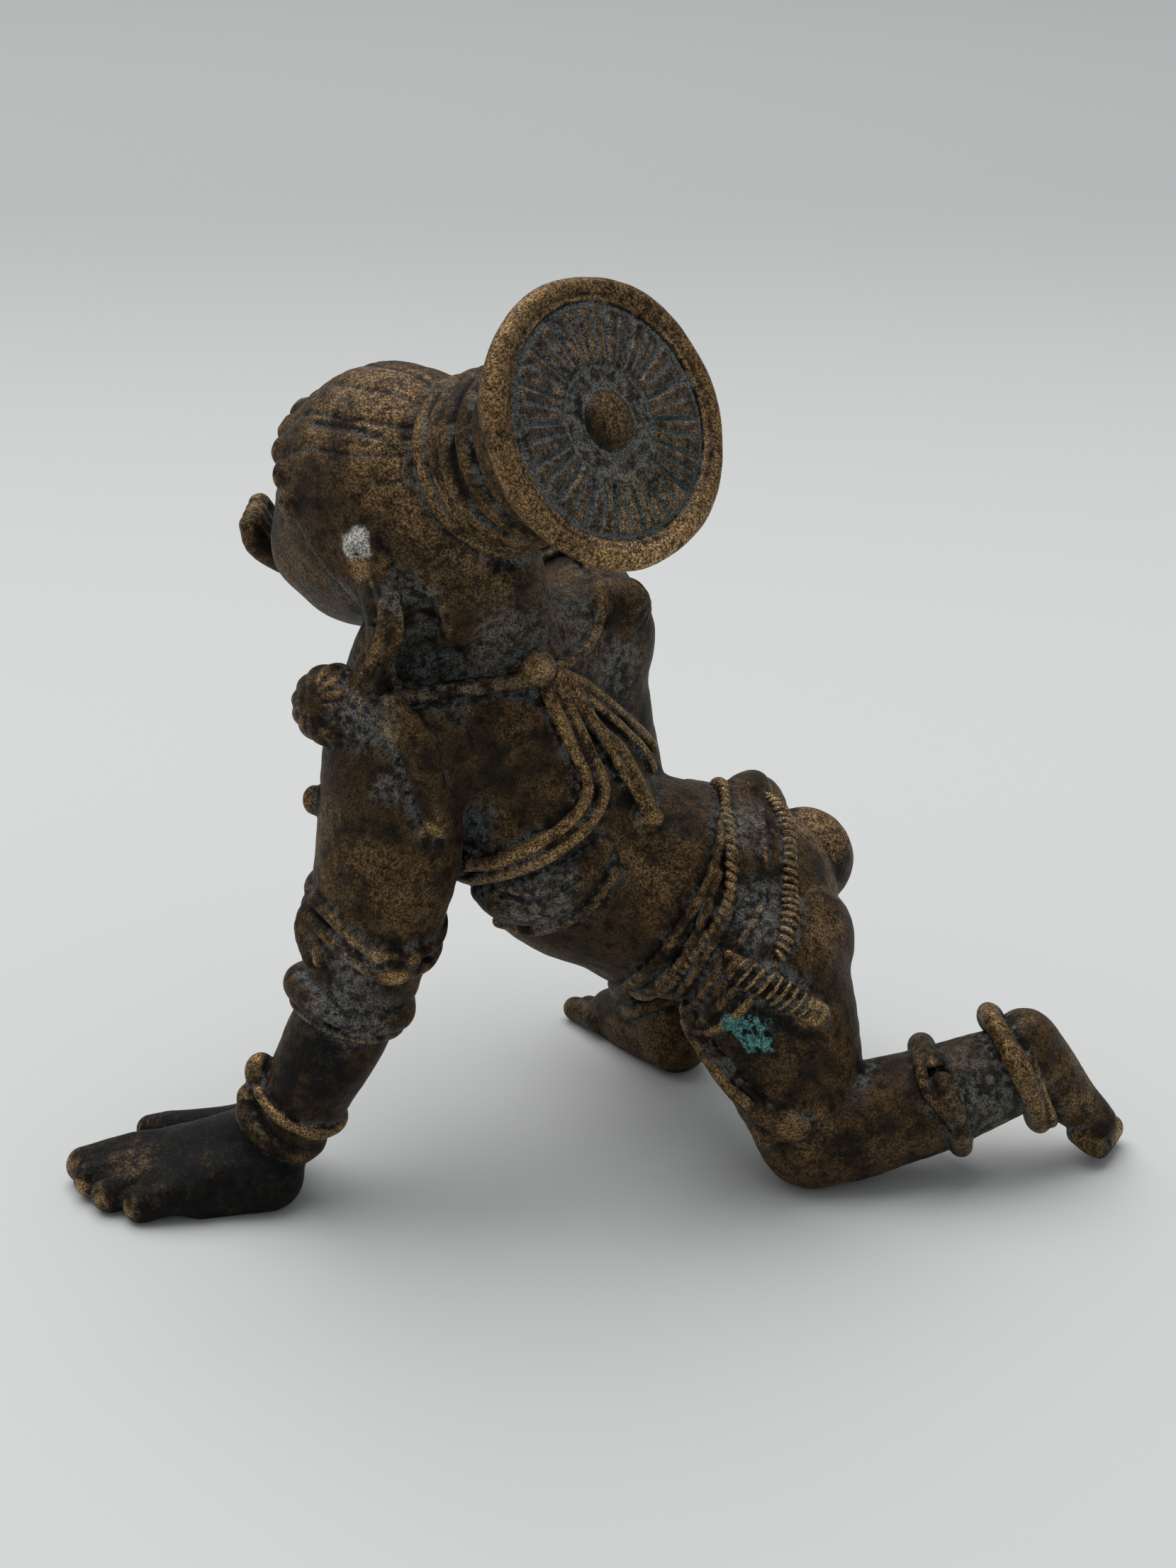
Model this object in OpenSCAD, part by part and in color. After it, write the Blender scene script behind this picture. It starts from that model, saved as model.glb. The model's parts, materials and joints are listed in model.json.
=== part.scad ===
// Small cast bronze figurine of a crawling child in ornaments, with a large hair bun.
// Millimetres. +Z is up. The figure crawls towards -X and its left side faces -Y.
// The origin is on the ground under the middle of the figure.
// The founder shapes each wax piece on its own, joins them and casts them in one pour,
// so neighbouring pieces sink into each other and nothing moves.

/* [Body] */

// radius of the chest under the arms
chest_r = 7;     // [5:0.1:9]
// radius of the waist
waist_r = 6.9;   // [5:0.1:9]
// radius of the pelvis
pelvis_r = 7.3;  // [5:0.1:9]
// radius of each buttock
seat_r = 3.9;    // [3:0.1:5]
// radius of the neck
neck_r = 3.7;    // [2.5:0.1:5]
// radius of an upper arm at its middle
arm_r = 4.8;     // [3:0.1:6]
// radius of a forearm at its middle
forearm_r = 3.8; // [2.5:0.1:5]
// radius of a thigh at the hip
thigh_r = 5.4;   // [4:0.1:7]
// radius of a knee
knee_r = 3.6;    // [2.5:0.1:5]
// radius of a finger
finger_r = 1.1;  // [0.7:0.05:1.5]

/* [Head] */

// half length of the head, front to back
head_long = 8.2; // [6:0.1:10]
// half width of the head
head_wide = 7;   // [5:0.1:9]
// half height of the head
head_high = 8.3; // [6:0.1:10]
// turn of the face away from straight ahead, in degrees
face_turn = 38;  // [0:1:60]
// thickness of the hair over the skull
hair_t = 0.35;   // [0.2:0.05:1]
// radius of a forehead curl
curl_r = 0.85;   // [0.5:0.05:1.2]

/* [Bun and disc] */

// radius of the coils of the hair bun
coil_r = 4.7;    // [3:0.1:6]
// radius of one strand of the bun
strand_r = 0.85; // [0.5:0.05:1.2]
// number of coils
coils = 8;       // [3:1:10]
// radius of the centre line of the disc's rim
rim_path_r = 8;  // [6:0.05:9]
// radius of the rim's round section
rim_r = 0.9;     // [0.5:0.05:1.5]
// thickness of the disc behind its face
disc_t = 1.4;    // [0.8:0.1:2]
// number of petals on the disc
petals = 18;     // [8:1:24]
// radius of the boss in the middle of the disc
boss_r = 1.9;    // [1:0.05:2.5]

/* [Ornaments] */

// radius of a cord of the sacred thread
cord_r = 0.5;    // [0.3:0.05:0.8]
// radius of the bead at the nape
bead_r = 0.95;   // [0.5:0.05:1.5]
// radius of the belt's raised edges
edge_r = 0.65;   // [0.4:0.05:1]
// radius of a plain bangle's section
bangle_r = 0.8;  // [0.5:0.05:1.2]
// radius of the butter ball in the right hand
butter_r = 2.4;  // [1.5:0.1:3]

/* [Hidden] */

bronze = [0.36, 0.26, 0.17];
worn = [0.62, 0.42, 0.22];
shift = [-1.02, -4.77, 0];
head_at = [-11.9, 4, 45.6];
bun_dir = [0.62, -0.68, 0.4];
disc_at = [1.6, -7.9, 53.9];
bun_len = 12.2;
// lines of the belt's two edges around the hips
upper_line = [[9, 2.9, 24.6], [9.2, -0.4, 22.1], [8.9, -1.6, 20], [7.7, -2.1, 18.3], [6.3, -1.8, 16.2],
    [4.4, 0.2, 13.1], [3.2, 3.5, 11.7], [3.5, 7.2, 11.8], [4.4, 11.1, 14.2], [5.8, 12.4, 20],
    [8.2, 10.6, 22.8], [8.9, 6.8, 25], [9, 2.9, 24.6]];
lower_line = [[12.3, 7, 24.3], [13.3, 3.4, 23.8], [13.4, 0.9, 22.3], [13.1, -1.8, 19.6], [12.4, -3.8, 17.8],
    [10.9, -4.6, 15.5], [9.1, -4, 13], [7.4, -1.6, 10.9], [6.6, 2.2, 10.8], [6.6, 5.6, 10.6],
    [7.2, 9.4, 11.4], [9.8, 14.8, 12.8], [11.6, 14.6, 20.4], [12, 11.2, 22.6], [12.3, 7, 24.3]];

// ---------- helpers ----------

// row i of a list of points, held at its ends
function row(p, i) = p[min(max(i, 0), len(p) - 1)];
// smooth curve between rows b and c
function curve(a, b, c, d, t) = 0.5 * (2 * b + (c - a) * t
    + (2 * a - 5 * b + 4 * c - d) * t * t
    + (3 * b - a - 3 * c + d) * t * t * t);
// list of points on the curve through p, n to a span
function smooth(p, n) = concat(
    [for (i = [0 : len(p) - 2], j = [0 : n - 1])
        curve(row(p, i - 1), row(p, i), row(p, i + 1), row(p, i + 2), j / n)],
    [p[len(p) - 1]]);
// turn that points +Z along d
function aim(d) = [0, acos(d[2] / norm(d)), atan2(d[1], d[0])];
// points p drawn towards c by the factor k
function towards(p, c, k) = [for (q = p) c + (q - c) * k];
// direction v stretched onto the skull, raised by k
function skull(v, k) = [v[0] * (head_long + k), v[1] * (head_wide + k), v[2] * (head_high + k)]
    / norm(v);
// direction of the hairline at angle a from the middle of the forehead
function hairline(a) = [(6.3 * cos(a) + 1.5 * (1 - cos(a))) / head_long,
    6.9 * sin(a) / head_wide,
    (5.2 * cos(a) - 0.4 * (1 - cos(a))) / head_high];

module ball(p, f) {
    translate([p[0], p[1], p[2]])
        sphere(r = p[3], $fn = f);
}

// round limb through rows of x, y, z and radius
module limb(p, n = 3, f = 12) {
    s = smooth(p, n);
    for (i = [0 : len(s) - 2])
        hull() {
            ball(s[i], f);
            ball(s[i + 1], f);
        }
}

// everything under the surface the figure stands on
module ground() {
    translate([0, 0, -20])
        cube([200, 200, 40], center = true);
}

module placed() {
    translate(shift)
        children();
}

module on_head() {
    translate(head_at)
        rotate([0, 0, 180 - face_turn])
            children();
}

module on_bun(h = 0) {
    translate(disc_at)
        rotate(aim(bun_dir))
            translate([0, 0, h])
                children();
}

// ring of round section around a limb that runs along d
module hoop(c, d, path_r, r) {
    translate(c)
        rotate(aim(d))
            rotate_extrude()
                translate([path_r, 0])
                    circle(r = r);
}

// oval ring around a limb that runs along d: half sizes a and b, section radius r
module oval_ring(c, d, a, b, r, steps = 20) {
    translate(c)
        rotate(aim(d))
            for (i = [0 : steps - 1])
                hull() {
                    ball([a * cos(i * 360 / steps), b * sin(i * 360 / steps), 0, r], 8);
                    ball([a * cos((i + 1) * 360 / steps), b * sin((i + 1) * 360 / steps), 0, r], 8);
                }
}

// cord of radius r along a list of points
module cord(p, r, n = 2) {
    limb([for (q = p) concat(q, [r])], n, 6);
}

// ---------- trunk ----------

module chest() {
    color(bronze)
        placed()
            union() {
                limb([[-2.6, 4.2, 25.4, chest_r], [-5.5, 3.4, 30, chest_r - 0.6]], 2, 16);
                limb([[-11.5, -1.2, 30.4, 4.6], [-6.5, 3.2, 32.5, 5.2], [-1.2, 8.4, 33.4, 4.6]], 2, 14);
                limb([[0, 8.8, 34, 3.8], [0.5, 9.4, 28.5, 4], [1.5, 9.2, 25.5, 3.4]], 2, 12);
            }
}

module waist() {
    color(bronze)
        placed()
            union() {
                limb([[4.5, 4.8, 18.9, waist_r], [0.4, 4.6, 20.8, waist_r], [-3.2, 3.6, 25, waist_r]], 4, 16);
                ball([-1.4, 3.4, 19.6, 5], 16);
            }
}

module pelvis() {
    color(bronze)
        placed()
            limb([[10.5, 5.5, 17.3, pelvis_r], [7.5, 5.2, 17.9, pelvis_r], [4.5, 5, 18.7, pelvis_r - 0.2]], 4, 18);
}

module left_buttock() {
    color(bronze)
        placed()
            translate([13.9, 2, 16.3])
                sphere(r = seat_r);
}

module right_buttock() {
    color(bronze)
        placed()
            translate([14.3, 9.2, 18.1])
                sphere(r = seat_r - 0.1);
}

module neck() {
    color(bronze)
        placed()
            union() {
                limb([[-7.5, 2.8, 35, neck_r + 0.5], [-9, 3.2, 39, neck_r], [-10, 3.6, 42, neck_r]], 2, 14);
                limb([[-4.6, 2.2, 35.6, 3], [-5.2, 1.8, 38.5, 3], [-6.2, 1.6, 42, 3.4]], 2, 12);
                // side of the neck behind the ear
                limb([[-9.5, 1.5, 40, 3.2], [-12, -0.6, 37.6, 2.5], [-13, -1.4, 34.6, 2.7]], 2, 10);
            }
}

// ---------- head ----------

module head() {
    color(bronze)
        placed()
            on_head()
                union() {
                    // skull
                    scale([head_long, head_wide, head_high])
                        sphere(r = 1, $fn = 24);
                    // jaw and chin
                    hull() {
                        ball([2.6, 0, -3.4, 5], 16);
                        ball([5.2, 0, -6.6, 1.8], 12);
                    }
                    for (s = [-1, 1]) {
                        // cheek
                        hull() {
                            ball([4.9, s * 2.9, -2.9, 2.3], 12);
                            ball([4.2, s * 2.4, -5, 2], 12);
                        }
                        // eyelid
                        hull() {
                            ball([7, s * 1.9, -0.6, 0.75], 8);
                            ball([6.1, s * 3.7, -0.4, 0.65], 8);
                        }
                        // brow
                        hull() {
                            ball([7.6, s * 1.2, 1, 0.4], 8);
                            ball([6.2, s * 4, 1.2, 0.4], 8);
                        }
                        // side of the mouth
                        hull() {
                            ball([7.3, 0, -4.7, 0.5], 8);
                            ball([6.7, s * 1.5, -4.6, 0.35], 8);
                        }
                        // nostril
                        ball([7.7, s * 0.75, -2.9, 0.6], 8);
                    }
                    // nose
                    hull() {
                        ball([7.7, 0, 0.4, 0.6], 10);
                        ball([8.4, 0, -2.7, 0.75], 10);
                    }
                    // lower lip
                    hull() {
                        ball([7, -0.8, -5.5, 0.5], 8);
                        ball([7, 0.8, -5.5, 0.5], 8);
                    }
                }
}

module ear(s) {
    color(bronze)
        placed()
            on_head()
                union() {
                    // folded rim of the ear
                    limb([[-1.6, s * 6.6, -2.4, 0.5], [-1.4, s * 6.9, -0.6, 0.6],
                        [-2.4, s * 6.9, 0.2, 0.7], [-3.4, s * 6.5, -0.8, 0.7],
                        [-3, s * 6.2, -2.8, 0.6], [-2.4, s * 5.9, -4.4, 0.7]], 2, 6);
                    // bowl of the ear
                    ball([-2.4, s * 6.2, -1.6, 1.2], 10);
                    // long lobe
                    limb([[-2.4, s * 5.9, -4.4, 0.7], [-2.5, s * 5.4, -6.4, 0.75]], 2, 8);
                }
}

module left_ear() {
    ear(1);
}

module right_ear() {
    ear(-1);
}

module hair_cap() {
    color(bronze)
        placed()
            on_head()
                union() {
                    // hair over the skull behind the hairline
                    difference() {
                        scale([head_long + hair_t, head_wide + hair_t, head_high + hair_t])
                            sphere(r = 1, $fn = 22);
                        rotate([0, 39, 0])
                            translate([2 + 10, 0, 0])
                                cube([20, 30, 30], center = true);
                    }
                    // combed strands running back to the bun
                    for (a = [-60 : 20 : 60])
                        limb([concat(skull(hairline(a), hair_t), [0.45]),
                            concat(skull(hairline(a) * 0.6 + [-0.25, 0, 0.35], hair_t), [0.45]),
                            concat(skull(hairline(a) * 0.3 + [-0.9, 0.15, 0.45], hair_t), [0.45])], 1, 6);
                }
}

module forehead_curls() {
    color(bronze)
        placed()
            on_head()
                for (a = [-75 : 15 : 75])
                    translate(skull(hairline(a), 0.1))
                        sphere(r = curl_r);
}

// ---------- bun and disc ----------

module hair_bun() {
    color(bronze)
        placed()
            on_bun()
                union() {
                    // core of the bun, let into the head
                    translate([0, 0, -bun_len - 2])
                        cylinder(r = coil_r + 0.2, h = bun_len + 1);
                    // coils of the rolled hair
                    for (i = [0 : coils - 1])
                        translate([0, 0, -bun_len + 0.4 + i * 1.35])
                            rotate_extrude()
                                translate([coil_r, 0])
                                    circle(r = strand_r);
                }
}

module bun_disc() {
    color(bronze)
        placed()
            on_bun(-disc_t - 0.6)
                cylinder(r = rim_path_r, h = disc_t);
}

module disc_rim() {
    color(worn)
        placed()
            on_bun(-0.9)
                rotate_extrude()
                    translate([rim_path_r, 0])
                        circle(r = rim_r);
}

module disc_petals() {
    color(bronze)
        placed()
            on_bun(-0.7)
                linear_extrude(0.5)
                    union() {
                        difference() {
                            circle(r = 3.3);
                            circle(r = boss_r + 0.2);
                        }
                        for (i = [0 : petals - 1])
                            rotate(i * 360 / petals)
                                polygon([[3.1, -0.35], [6, -0.95], [6.8, -0.5], [7, 0],
                                    [6.8, 0.5], [6, 0.95], [3.1, 0.35]]);
                    }
}

module disc_boss() {
    color(bronze)
        placed()
            on_bun(-1)
                union() {
                    cylinder(r = boss_r, h = 0.9);
                    translate([0, 0, 0.9])
                        intersection() {
                            translate([0, 0, -1.8])
                                sphere(r = 2.3);
                            cylinder(r = boss_r, h = 3);
                        }
                }
}

// ---------- neck and shoulder ornaments ----------

module left_earring() {
    color(worn)
        placed()
            union() {
                // knob on the shoulder
                translate([-15.9, -3.1, 34.2])
                    sphere(r = 2.45);
                // bunched drop beside it
                translate([-13.6, -4.1, 34.2])
                    sphere(r = 2.2);
                // stretched lobe it hangs from
                limb([[-12.9, -1.9, 39.6, 0.9], [-14, -2.4, 37.6, 1.05], [-15, -2.9, 35.8, 1.2]], 4, 8);
            }
}

module right_earring() {
    color(worn)
        placed()
            union() {
                translate([2.7, 7.6, 37.6])
                    sphere(r = 1.9);
                hoop([2.7, 7.6, 37.6], [0.94, 0.34, 0], 1.55, 0.55);
            }
}

module hair_lock() {
    color(bronze)
        placed()
            limb([[-12.2, -4.4, 34.4, 0.9], [-11, -5.3, 33, 1.1],
                [-10.1, -5.7, 30.4, 1.15], [-9.6, -5.7, 27, 1.1]], 3, 8);
}

module necklace() {
    color(bronze)
        placed()
            cord([[-2.7, -0.2, 35.8], [-4.9, -1.3, 35.4], [-9.3, -2.5, 35.1], [-14.3, -2.4, 34.8],
                [-14.9, 0.2, 33.6], [-12.8, 3.4, 33.7], [-10.1, 6.6, 35], [-4, 10.5, 38.5],
                [-1, 10.9, 40], [0.7, 6.3, 38.2], [-0.7, 3.3, 35.9], [-2.7, -0.2, 35.8]], cord_r);
}

module nape_bead() {
    color(worn)
        placed()
            translate([-2.7, -0.1, 36])
                sphere(r = bead_r);
}

module tassel() {
    color(worn)
        placed()
            union() {
                limb([[-2.4, 0.2, 35.4, 0.5], [-0.8, 1.4, 34.3, 0.5], [1.5, 3.7, 31.6, 0.55],
                    [4, 7.2, 27.9, 0.6]], 2, 8);
                limb([[-2.4, 0, 35.4, 0.5], [-1.1, 0.5, 34, 0.5], [0.3, 0.5, 31.6, 0.55],
                    [1.8, 0.9, 29.9, 0.6], [3, 0.5, 27.5, 0.65], [4, 0.7, 25.3, 0.7]], 2, 8);
                limb([[-2.3, 0, 35.2, 0.5], [-0.7, 0.2, 33, 0.5], [0.8, 0.4, 30.8, 0.5],
                    [2, 0.2, 28.8, 0.55], [3.3, 0.3, 26.3, 0.6]], 2, 8);
            }
}

module sacred_thread() {
    color(worn)
        placed()
            union() {
                cord([[-2.5, -0.1, 35.4], [-1.7, -0.3, 33.8], [-0.5, -0.7, 31.4], [0.7, -1.1, 28.8],
                    [0.6, -1.9, 27.2], [-1.1, -3, 25.5], [-3.7, -3.2, 24], [-5.5, -2.6, 23.1],
                    [-7.6, -0.8, 22.1], [-9.6, 2.5, 22.7], [-9.8, 5.9, 24.5], [-8.2, 9, 27.1],
                    [-5.4, 10.4, 30.7], [-4.2, 12.6, 33.2]], cord_r);
                cord([[-3, -0.5, 35.4], [-2.3, -1, 33.5], [-1.1, -1.4, 31.1], [-0.2, -1.6, 29],
                    [-0.4, -2.3, 27.6], [-2, -3.1, 26.1], [-4.6, -3.1, 24.6], [-6.1, -2.5, 23.7],
                    [-8.4, -0.6, 23.3], [-10, 2.5, 23.9]], cord_r);
            }
}

module chest_pendant() {
    color(bronze)
        placed()
            limb([[-6.6, -1.4, 21.6, 1.2], [-4.4, -1.5, 20.9, 1.9], [-1.6, -1.5, 21.2, 1.8],
                [0.8, -1.6, 23.4, 1]], 3, 10);
}

// ---------- left arm, planted on the ground ----------

module left_upper_arm() {
    color(bronze)
        placed()
            limb([[-12.8, -2.6, 30.6, arm_r - 0.4], [-13.4, -3, 24.5, arm_r], [-14.8, -3.8, 16.2, arm_r - 0.6]], 4, 16);
}

module left_armlet() {
    color(bronze)
        placed()
            union() {
                hoop([-14.1, -3.4, 19.1], [0.42, -0.05, 0.9], 4.3, 0.8);
                hoop([-13.8, -3.4, 20.2], [0.42, -0.05, 0.9], 4.3, 0.6);
                // jewel on the outer side
                translate([-12.3, -7.8, 18.2])
                    sphere(r = 0.9);
                // small jewel on the front
                translate([-18.4, -4, 21.2])
                    sphere(r = 0.9);
            }
}

module left_elbow_ring() {
    color(bronze)
        placed()
            union() {
                hoop([-14.7, -3.8, 16], [0.17, 0.04, 1], 4.1, 0.65);
                hoop([-14.85, -3.8, 14.9], [0.17, 0.04, 1], 3.9, 0.85);
                hoop([-15, -3.8, 13.7], [0.17, 0.04, 1], 3.9, 0.75);
            }
}

module left_forearm() {
    color(bronze)
        placed()
            limb([[-14.8, -3.8, 16.2, forearm_r + 0.4], [-16.6, -4, 11, forearm_r], [-19, -3.6, 6.4, forearm_r - 0.7]], 4, 14);
}

module left_bangle() {
    color(worn)
        placed()
            union() {
                hoop([-18.6, -3.7, 7], [0.44, -0.08, 0.9], 3.3, bangle_r);
                // clasp on the front of the wrist
                translate([-21, -2.4, 9.6])
                    scale([1, 1.1, 1.6])
                        sphere(r = 0.95);
            }
}

module left_wrist_ring() {
    color(bronze)
        placed()
            hoop([-19.7, -3.5, 5], [0.5, -0.08, 0.86], 3.1, bangle_r);
}

module left_hand() {
    color(bronze)
        placed()
            difference() {
                union() {
                    limb([[-20.2, -3.3, 4.2, 3.1], [-22.5, -3, 2.3, 2.9], [-26, -2.8, 1.3, 2.4]], 2, 12);
                    limb([[-21.3, -4.9, 2.2, 2.5], [-25.5, -5.6, 1, 2.1]], 2, 10);
                    // four fingers
                    limb([[-26.6, -1.6, 1.6, 1.35], [-30.6, -1.9, 1.4, finger_r + 0.1], [-34, -2.1, 1, finger_r]], 1, 8);
                    limb([[-26.6, -3.4, 1.5, 1.35], [-30.6, -3.7, 1.3, finger_r + 0.1], [-33.9, -4, 0.9, finger_r - 0.05]], 1, 8);
                    limb([[-26.4, -5, 1.3, 1.3], [-29.8, -5.5, 1.1, finger_r], [-32.6, -5.9, 0.85, finger_r - 0.1]], 1, 8);
                    limb([[-25.8, -6.4, 1.1, 1.2], [-28, -6.7, 1, finger_r - 0.05], [-30, -6.9, 0.8, finger_r - 0.15]], 1, 8);
                    // thumb
                    limb([[-21.4, -0.6, 3.4, 1.7], [-26, 1.2, 2, 1.25], [-30, 2.6, 1.2, finger_r - 0.1]], 2, 8);
                }
                ground();
            }
}

// ---------- right arm, raised ----------

module right_upper_arm() {
    color(bronze)
        placed()
            limb([[0.2, 9.2, 35.2, arm_r - 0.6], [-2, 14.6, 36.6, arm_r - 0.7], [-4.6, 20, 37, arm_r - 1.2]], 4, 14);
}

module right_armlet() {
    color(worn)
        placed()
            hoop([-1.8, 14, 36.5], [-0.4, 0.9, 0.17], 3.9, 0.8);
}

module right_forearm() {
    color(bronze)
        placed()
            limb([[-4.6, 20, 37, arm_r - 1.2], [-9.2, 17.8, 37, forearm_r - 0.7], [-13.8, 15, 37.6, forearm_r - 1.5]], 4, 12);
}

module right_bangle() {
    color(worn)
        placed()
            union() {
                hoop([-11.4, 16.6, 37.2], [-0.86, -0.5, 0.08], 2.6, bangle_r);
                hoop([-12.8, 15.7, 37.4], [-0.86, -0.5, 0.08], 2.3, bangle_r - 0.1);
            }
}

module right_hand() {
    color(bronze)
        placed()
            union() {
                // palm
                limb([[-13.8, 15, 37.6, 2.2], [-16.4, 13.6, 38.8, 2], [-18.6, 12.8, 40, 1.6]], 2, 10);
                // four fingers curled up around the ball
                for (i = [0 : 3])
                    limb([[-17.6 - i * 0.2, 15.6 - i * 1.7, 39.4, 1], [-20.4 - i * 0.1, 15 - i * 1.7, 40.6, 0.95],
                        [-22.2, 14.2 - i * 1.6, 42.2, 0.85]], 1, 8);
                // thumb
                limb([[-15.4, 11.8, 38.6, 1.1], [-17.2, 10, 40.8, 0.95], [-18.6, 10.4, 42.6, 0.8]], 2, 8);
            }
}

module butter_ball() {
    color(bronze)
        placed()
            translate([-17.6, 12.8, 42.2])
                sphere(r = butter_r);
}

// ---------- belt and sash ----------

module belt_band() {
    color(bronze)
        placed()
            difference() {
                hull() {
                    cord(upper_line, 0.3);
                    cord(lower_line, 0.3);
                }
                // the hips inside the band
                translate([-1.2, 0, 0])
                    hull() {
                        cord(towards(upper_line, [8, 5, 18], 0.88), 0.2, 1);
                        translate([3, 0, 0])
                            cord(towards(lower_line, [9, 5, 17.5], 0.9), 0.2, 1);
                    }
            }
}

module belt_upper_edge() {
    color(worn)
        placed()
            cord(upper_line, edge_r);
}

module belt_lower_edge() {
    color(worn)
        placed()
            cord(lower_line, edge_r);
}

module belt_clasp() {
    color(bronze)
        placed()
            limb([[10.4, 7.6, 24.4, 1.2], [11, 9.4, 23.6, 1.6], [11.6, 11, 22.4, 1.3]], 4, 10);
}

module belt_knot() {
    color(worn)
        placed()
            limb([[11.4, -2.4, 17.4, 0.9], [12.8, -3.6, 15.8, 1.1], [14, -3.8, 14.4, 1.2], [14.8, -3.8, 13.4, 1.1]], 3, 8);
}

module front_sash() {
    color(bronze)
        placed()
            difference() {
                limb([[6.8, 0, 12.6, 1.2], [7.8, -1, 10.5, 1], [9.3, -3.2, 9.4, 0.8], [10.8, -4.2, 7.6, 0.8],
                    [12.9, -4.9, 5.4, 0.9]], 3, 8);
                ground();
            }
}

// ---------- legs ----------

module left_thigh() {
    color(bronze)
        placed()
            difference() {
                limb([[11.8, 0.9, 14.8, thigh_r], [13.4, -0.6, 9, thigh_r - 0.6], [15, -1.7, 3.5, knee_r]], 4, 16);
                ground();
            }
}

module left_shin() {
    color(bronze)
        placed()
            difference() {
                limb([[15, -1.7, 3.5, knee_r], [18.6, -1.4, 4.3, knee_r + 0.2], [23.5, -0.6, 5.5, knee_r - 0.1],
                    [28.6, 0.2, 7.2, 2.7]], 3, 16);
                ground();
            }
}

module left_calf_band() {
    color(bronze)
        placed()
            hoop([23.7, -0.5, 5.6], [0.93, 0.1, 0.36], 3.5, bangle_r);
}

module left_ankle_ring() {
    color(worn)
        placed()
            union() {
                oval_ring([28.7, 0.3, 7.3], [0.9, 0.08, 0.43], 4.1, 3, 0.75);
                oval_ring([30, 0.5, 6.9], [0.92, 0.08, 0.38], 3.7, 2.8, 0.5, 16);
            }
}

module left_foot() {
    color(bronze)
        placed()
            difference() {
                union() {
                    limb([[29.6, 0.6, 8.9, 2.6], [31, 1, 6.4, 2.7], [33.2, 1.2, 3.9, 2.1], [35, 1.2, 2, 1.7]], 2, 12);
                    // toes, from the big one to the little one
                    for (i = [0 : 4])
                        limb([[34.2 - i * 0.25, 3 - i * 0.85, 2.3 + i * 0.05, 0.9],
                            [36.3 - i * 0.4, 3.2 - i * 1, 0.85 + i * 0.1, 0.9 - i * 0.07]], 1, 8);
                }
                ground();
            }
}

module right_thigh() {
    color(bronze)
        placed()
            limb([[11, 10, 17, thigh_r - 0.2], [6.5, 15, 17, thigh_r - 0.7], [2.5, 18.6, 16, knee_r]], 4, 14);
}

module right_shin() {
    color(bronze)
        placed()
            limb([[2.5, 18.6, 16, knee_r], [3.6, 17.3, 11, knee_r + 0.1], [6, 14.6, 4.6, 2.8]], 4, 14);
}

module right_ankle_ring() {
    color(bronze)
        placed()
            union() {
                hoop([5.2, 15.5, 6.7], [-0.35, 0.4, 0.85], 3.1, bangle_r);
                hoop([5.8, 14.9, 5.2], [-0.35, 0.4, 0.85], 2.9, 0.6);
            }
}

module right_foot() {
    color(bronze)
        placed()
            difference() {
                union() {
                    limb([[6.4, 14.2, 2.4, 2.6], [4, 17.2, 1.9, 2.4], [2, 20, 1.3, 2]], 2, 12);
                    // toes, from the big one to the little one
                    for (i = [0 : 4])
                        limb([[0.7 + i * 0.85, 19.2 + i * 0.6, 1.1, 1],
                            [-0.9 + i * 0.95, 21.6 + i * 0.35, 0.8, 0.95 - i * 0.08]], 1, 8);
                }
                ground();
            }
}

// ---------- selection ----------

chest();
waist();
pelvis();
left_buttock();
right_buttock();
neck();
head();
left_ear();
right_ear();
hair_cap();
forehead_curls();
hair_bun();
bun_disc();
disc_rim();
disc_petals();
disc_boss();
left_earring();
right_earring();
hair_lock();
necklace();
nape_bead();
tassel();
sacred_thread();
chest_pendant();
left_upper_arm();
left_armlet();
left_elbow_ring();
left_forearm();
left_bangle();
left_wrist_ring();
left_hand();
right_upper_arm();
right_armlet();
right_forearm();
right_bangle();
right_hand();
butter_ball();
belt_band();
belt_upper_edge();
belt_lower_edge();
belt_clasp();
belt_knot();
front_sash();
left_thigh();
left_shin();
left_calf_band();
left_ankle_ring();
left_foot();
right_thigh();
right_shin();
right_ankle_ring();
right_foot();
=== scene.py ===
"""Cast bronze figurine of a crawling child: sculpted skin, ornaments, patina, camera and light.

The figure is sculpted as one distance field in millimetres, in the sculptor's frame (the CAD frame
before its final shift). Each CAD node owns the part of the field nearest to its own masses and becomes
one mesh. Neighbouring pieces dive under each other, so the skin looks cast in one.
"""

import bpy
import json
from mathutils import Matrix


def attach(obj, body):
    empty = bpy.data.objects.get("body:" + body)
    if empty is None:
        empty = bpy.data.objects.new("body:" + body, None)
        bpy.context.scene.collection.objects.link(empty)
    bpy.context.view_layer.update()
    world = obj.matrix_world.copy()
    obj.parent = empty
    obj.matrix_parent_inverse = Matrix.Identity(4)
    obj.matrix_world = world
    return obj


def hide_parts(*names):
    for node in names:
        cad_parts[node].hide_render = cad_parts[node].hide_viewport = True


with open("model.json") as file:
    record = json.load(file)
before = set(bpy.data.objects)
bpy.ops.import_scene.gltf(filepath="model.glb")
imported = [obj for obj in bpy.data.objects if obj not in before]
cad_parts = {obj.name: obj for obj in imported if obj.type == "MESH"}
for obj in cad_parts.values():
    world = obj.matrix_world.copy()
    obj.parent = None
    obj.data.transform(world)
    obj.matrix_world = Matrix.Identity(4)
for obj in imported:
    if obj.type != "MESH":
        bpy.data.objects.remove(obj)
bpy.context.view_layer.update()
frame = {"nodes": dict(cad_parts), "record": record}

import json
import math
from concurrent.futures import ThreadPoolExecutor
import bpy
import numpy as np
import openvdb
from mathutils import Vector

SHIFT = np.array([-1.02, -4.77, 0.0])     # from the sculptor's frame to the CAD frame, mm
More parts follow.
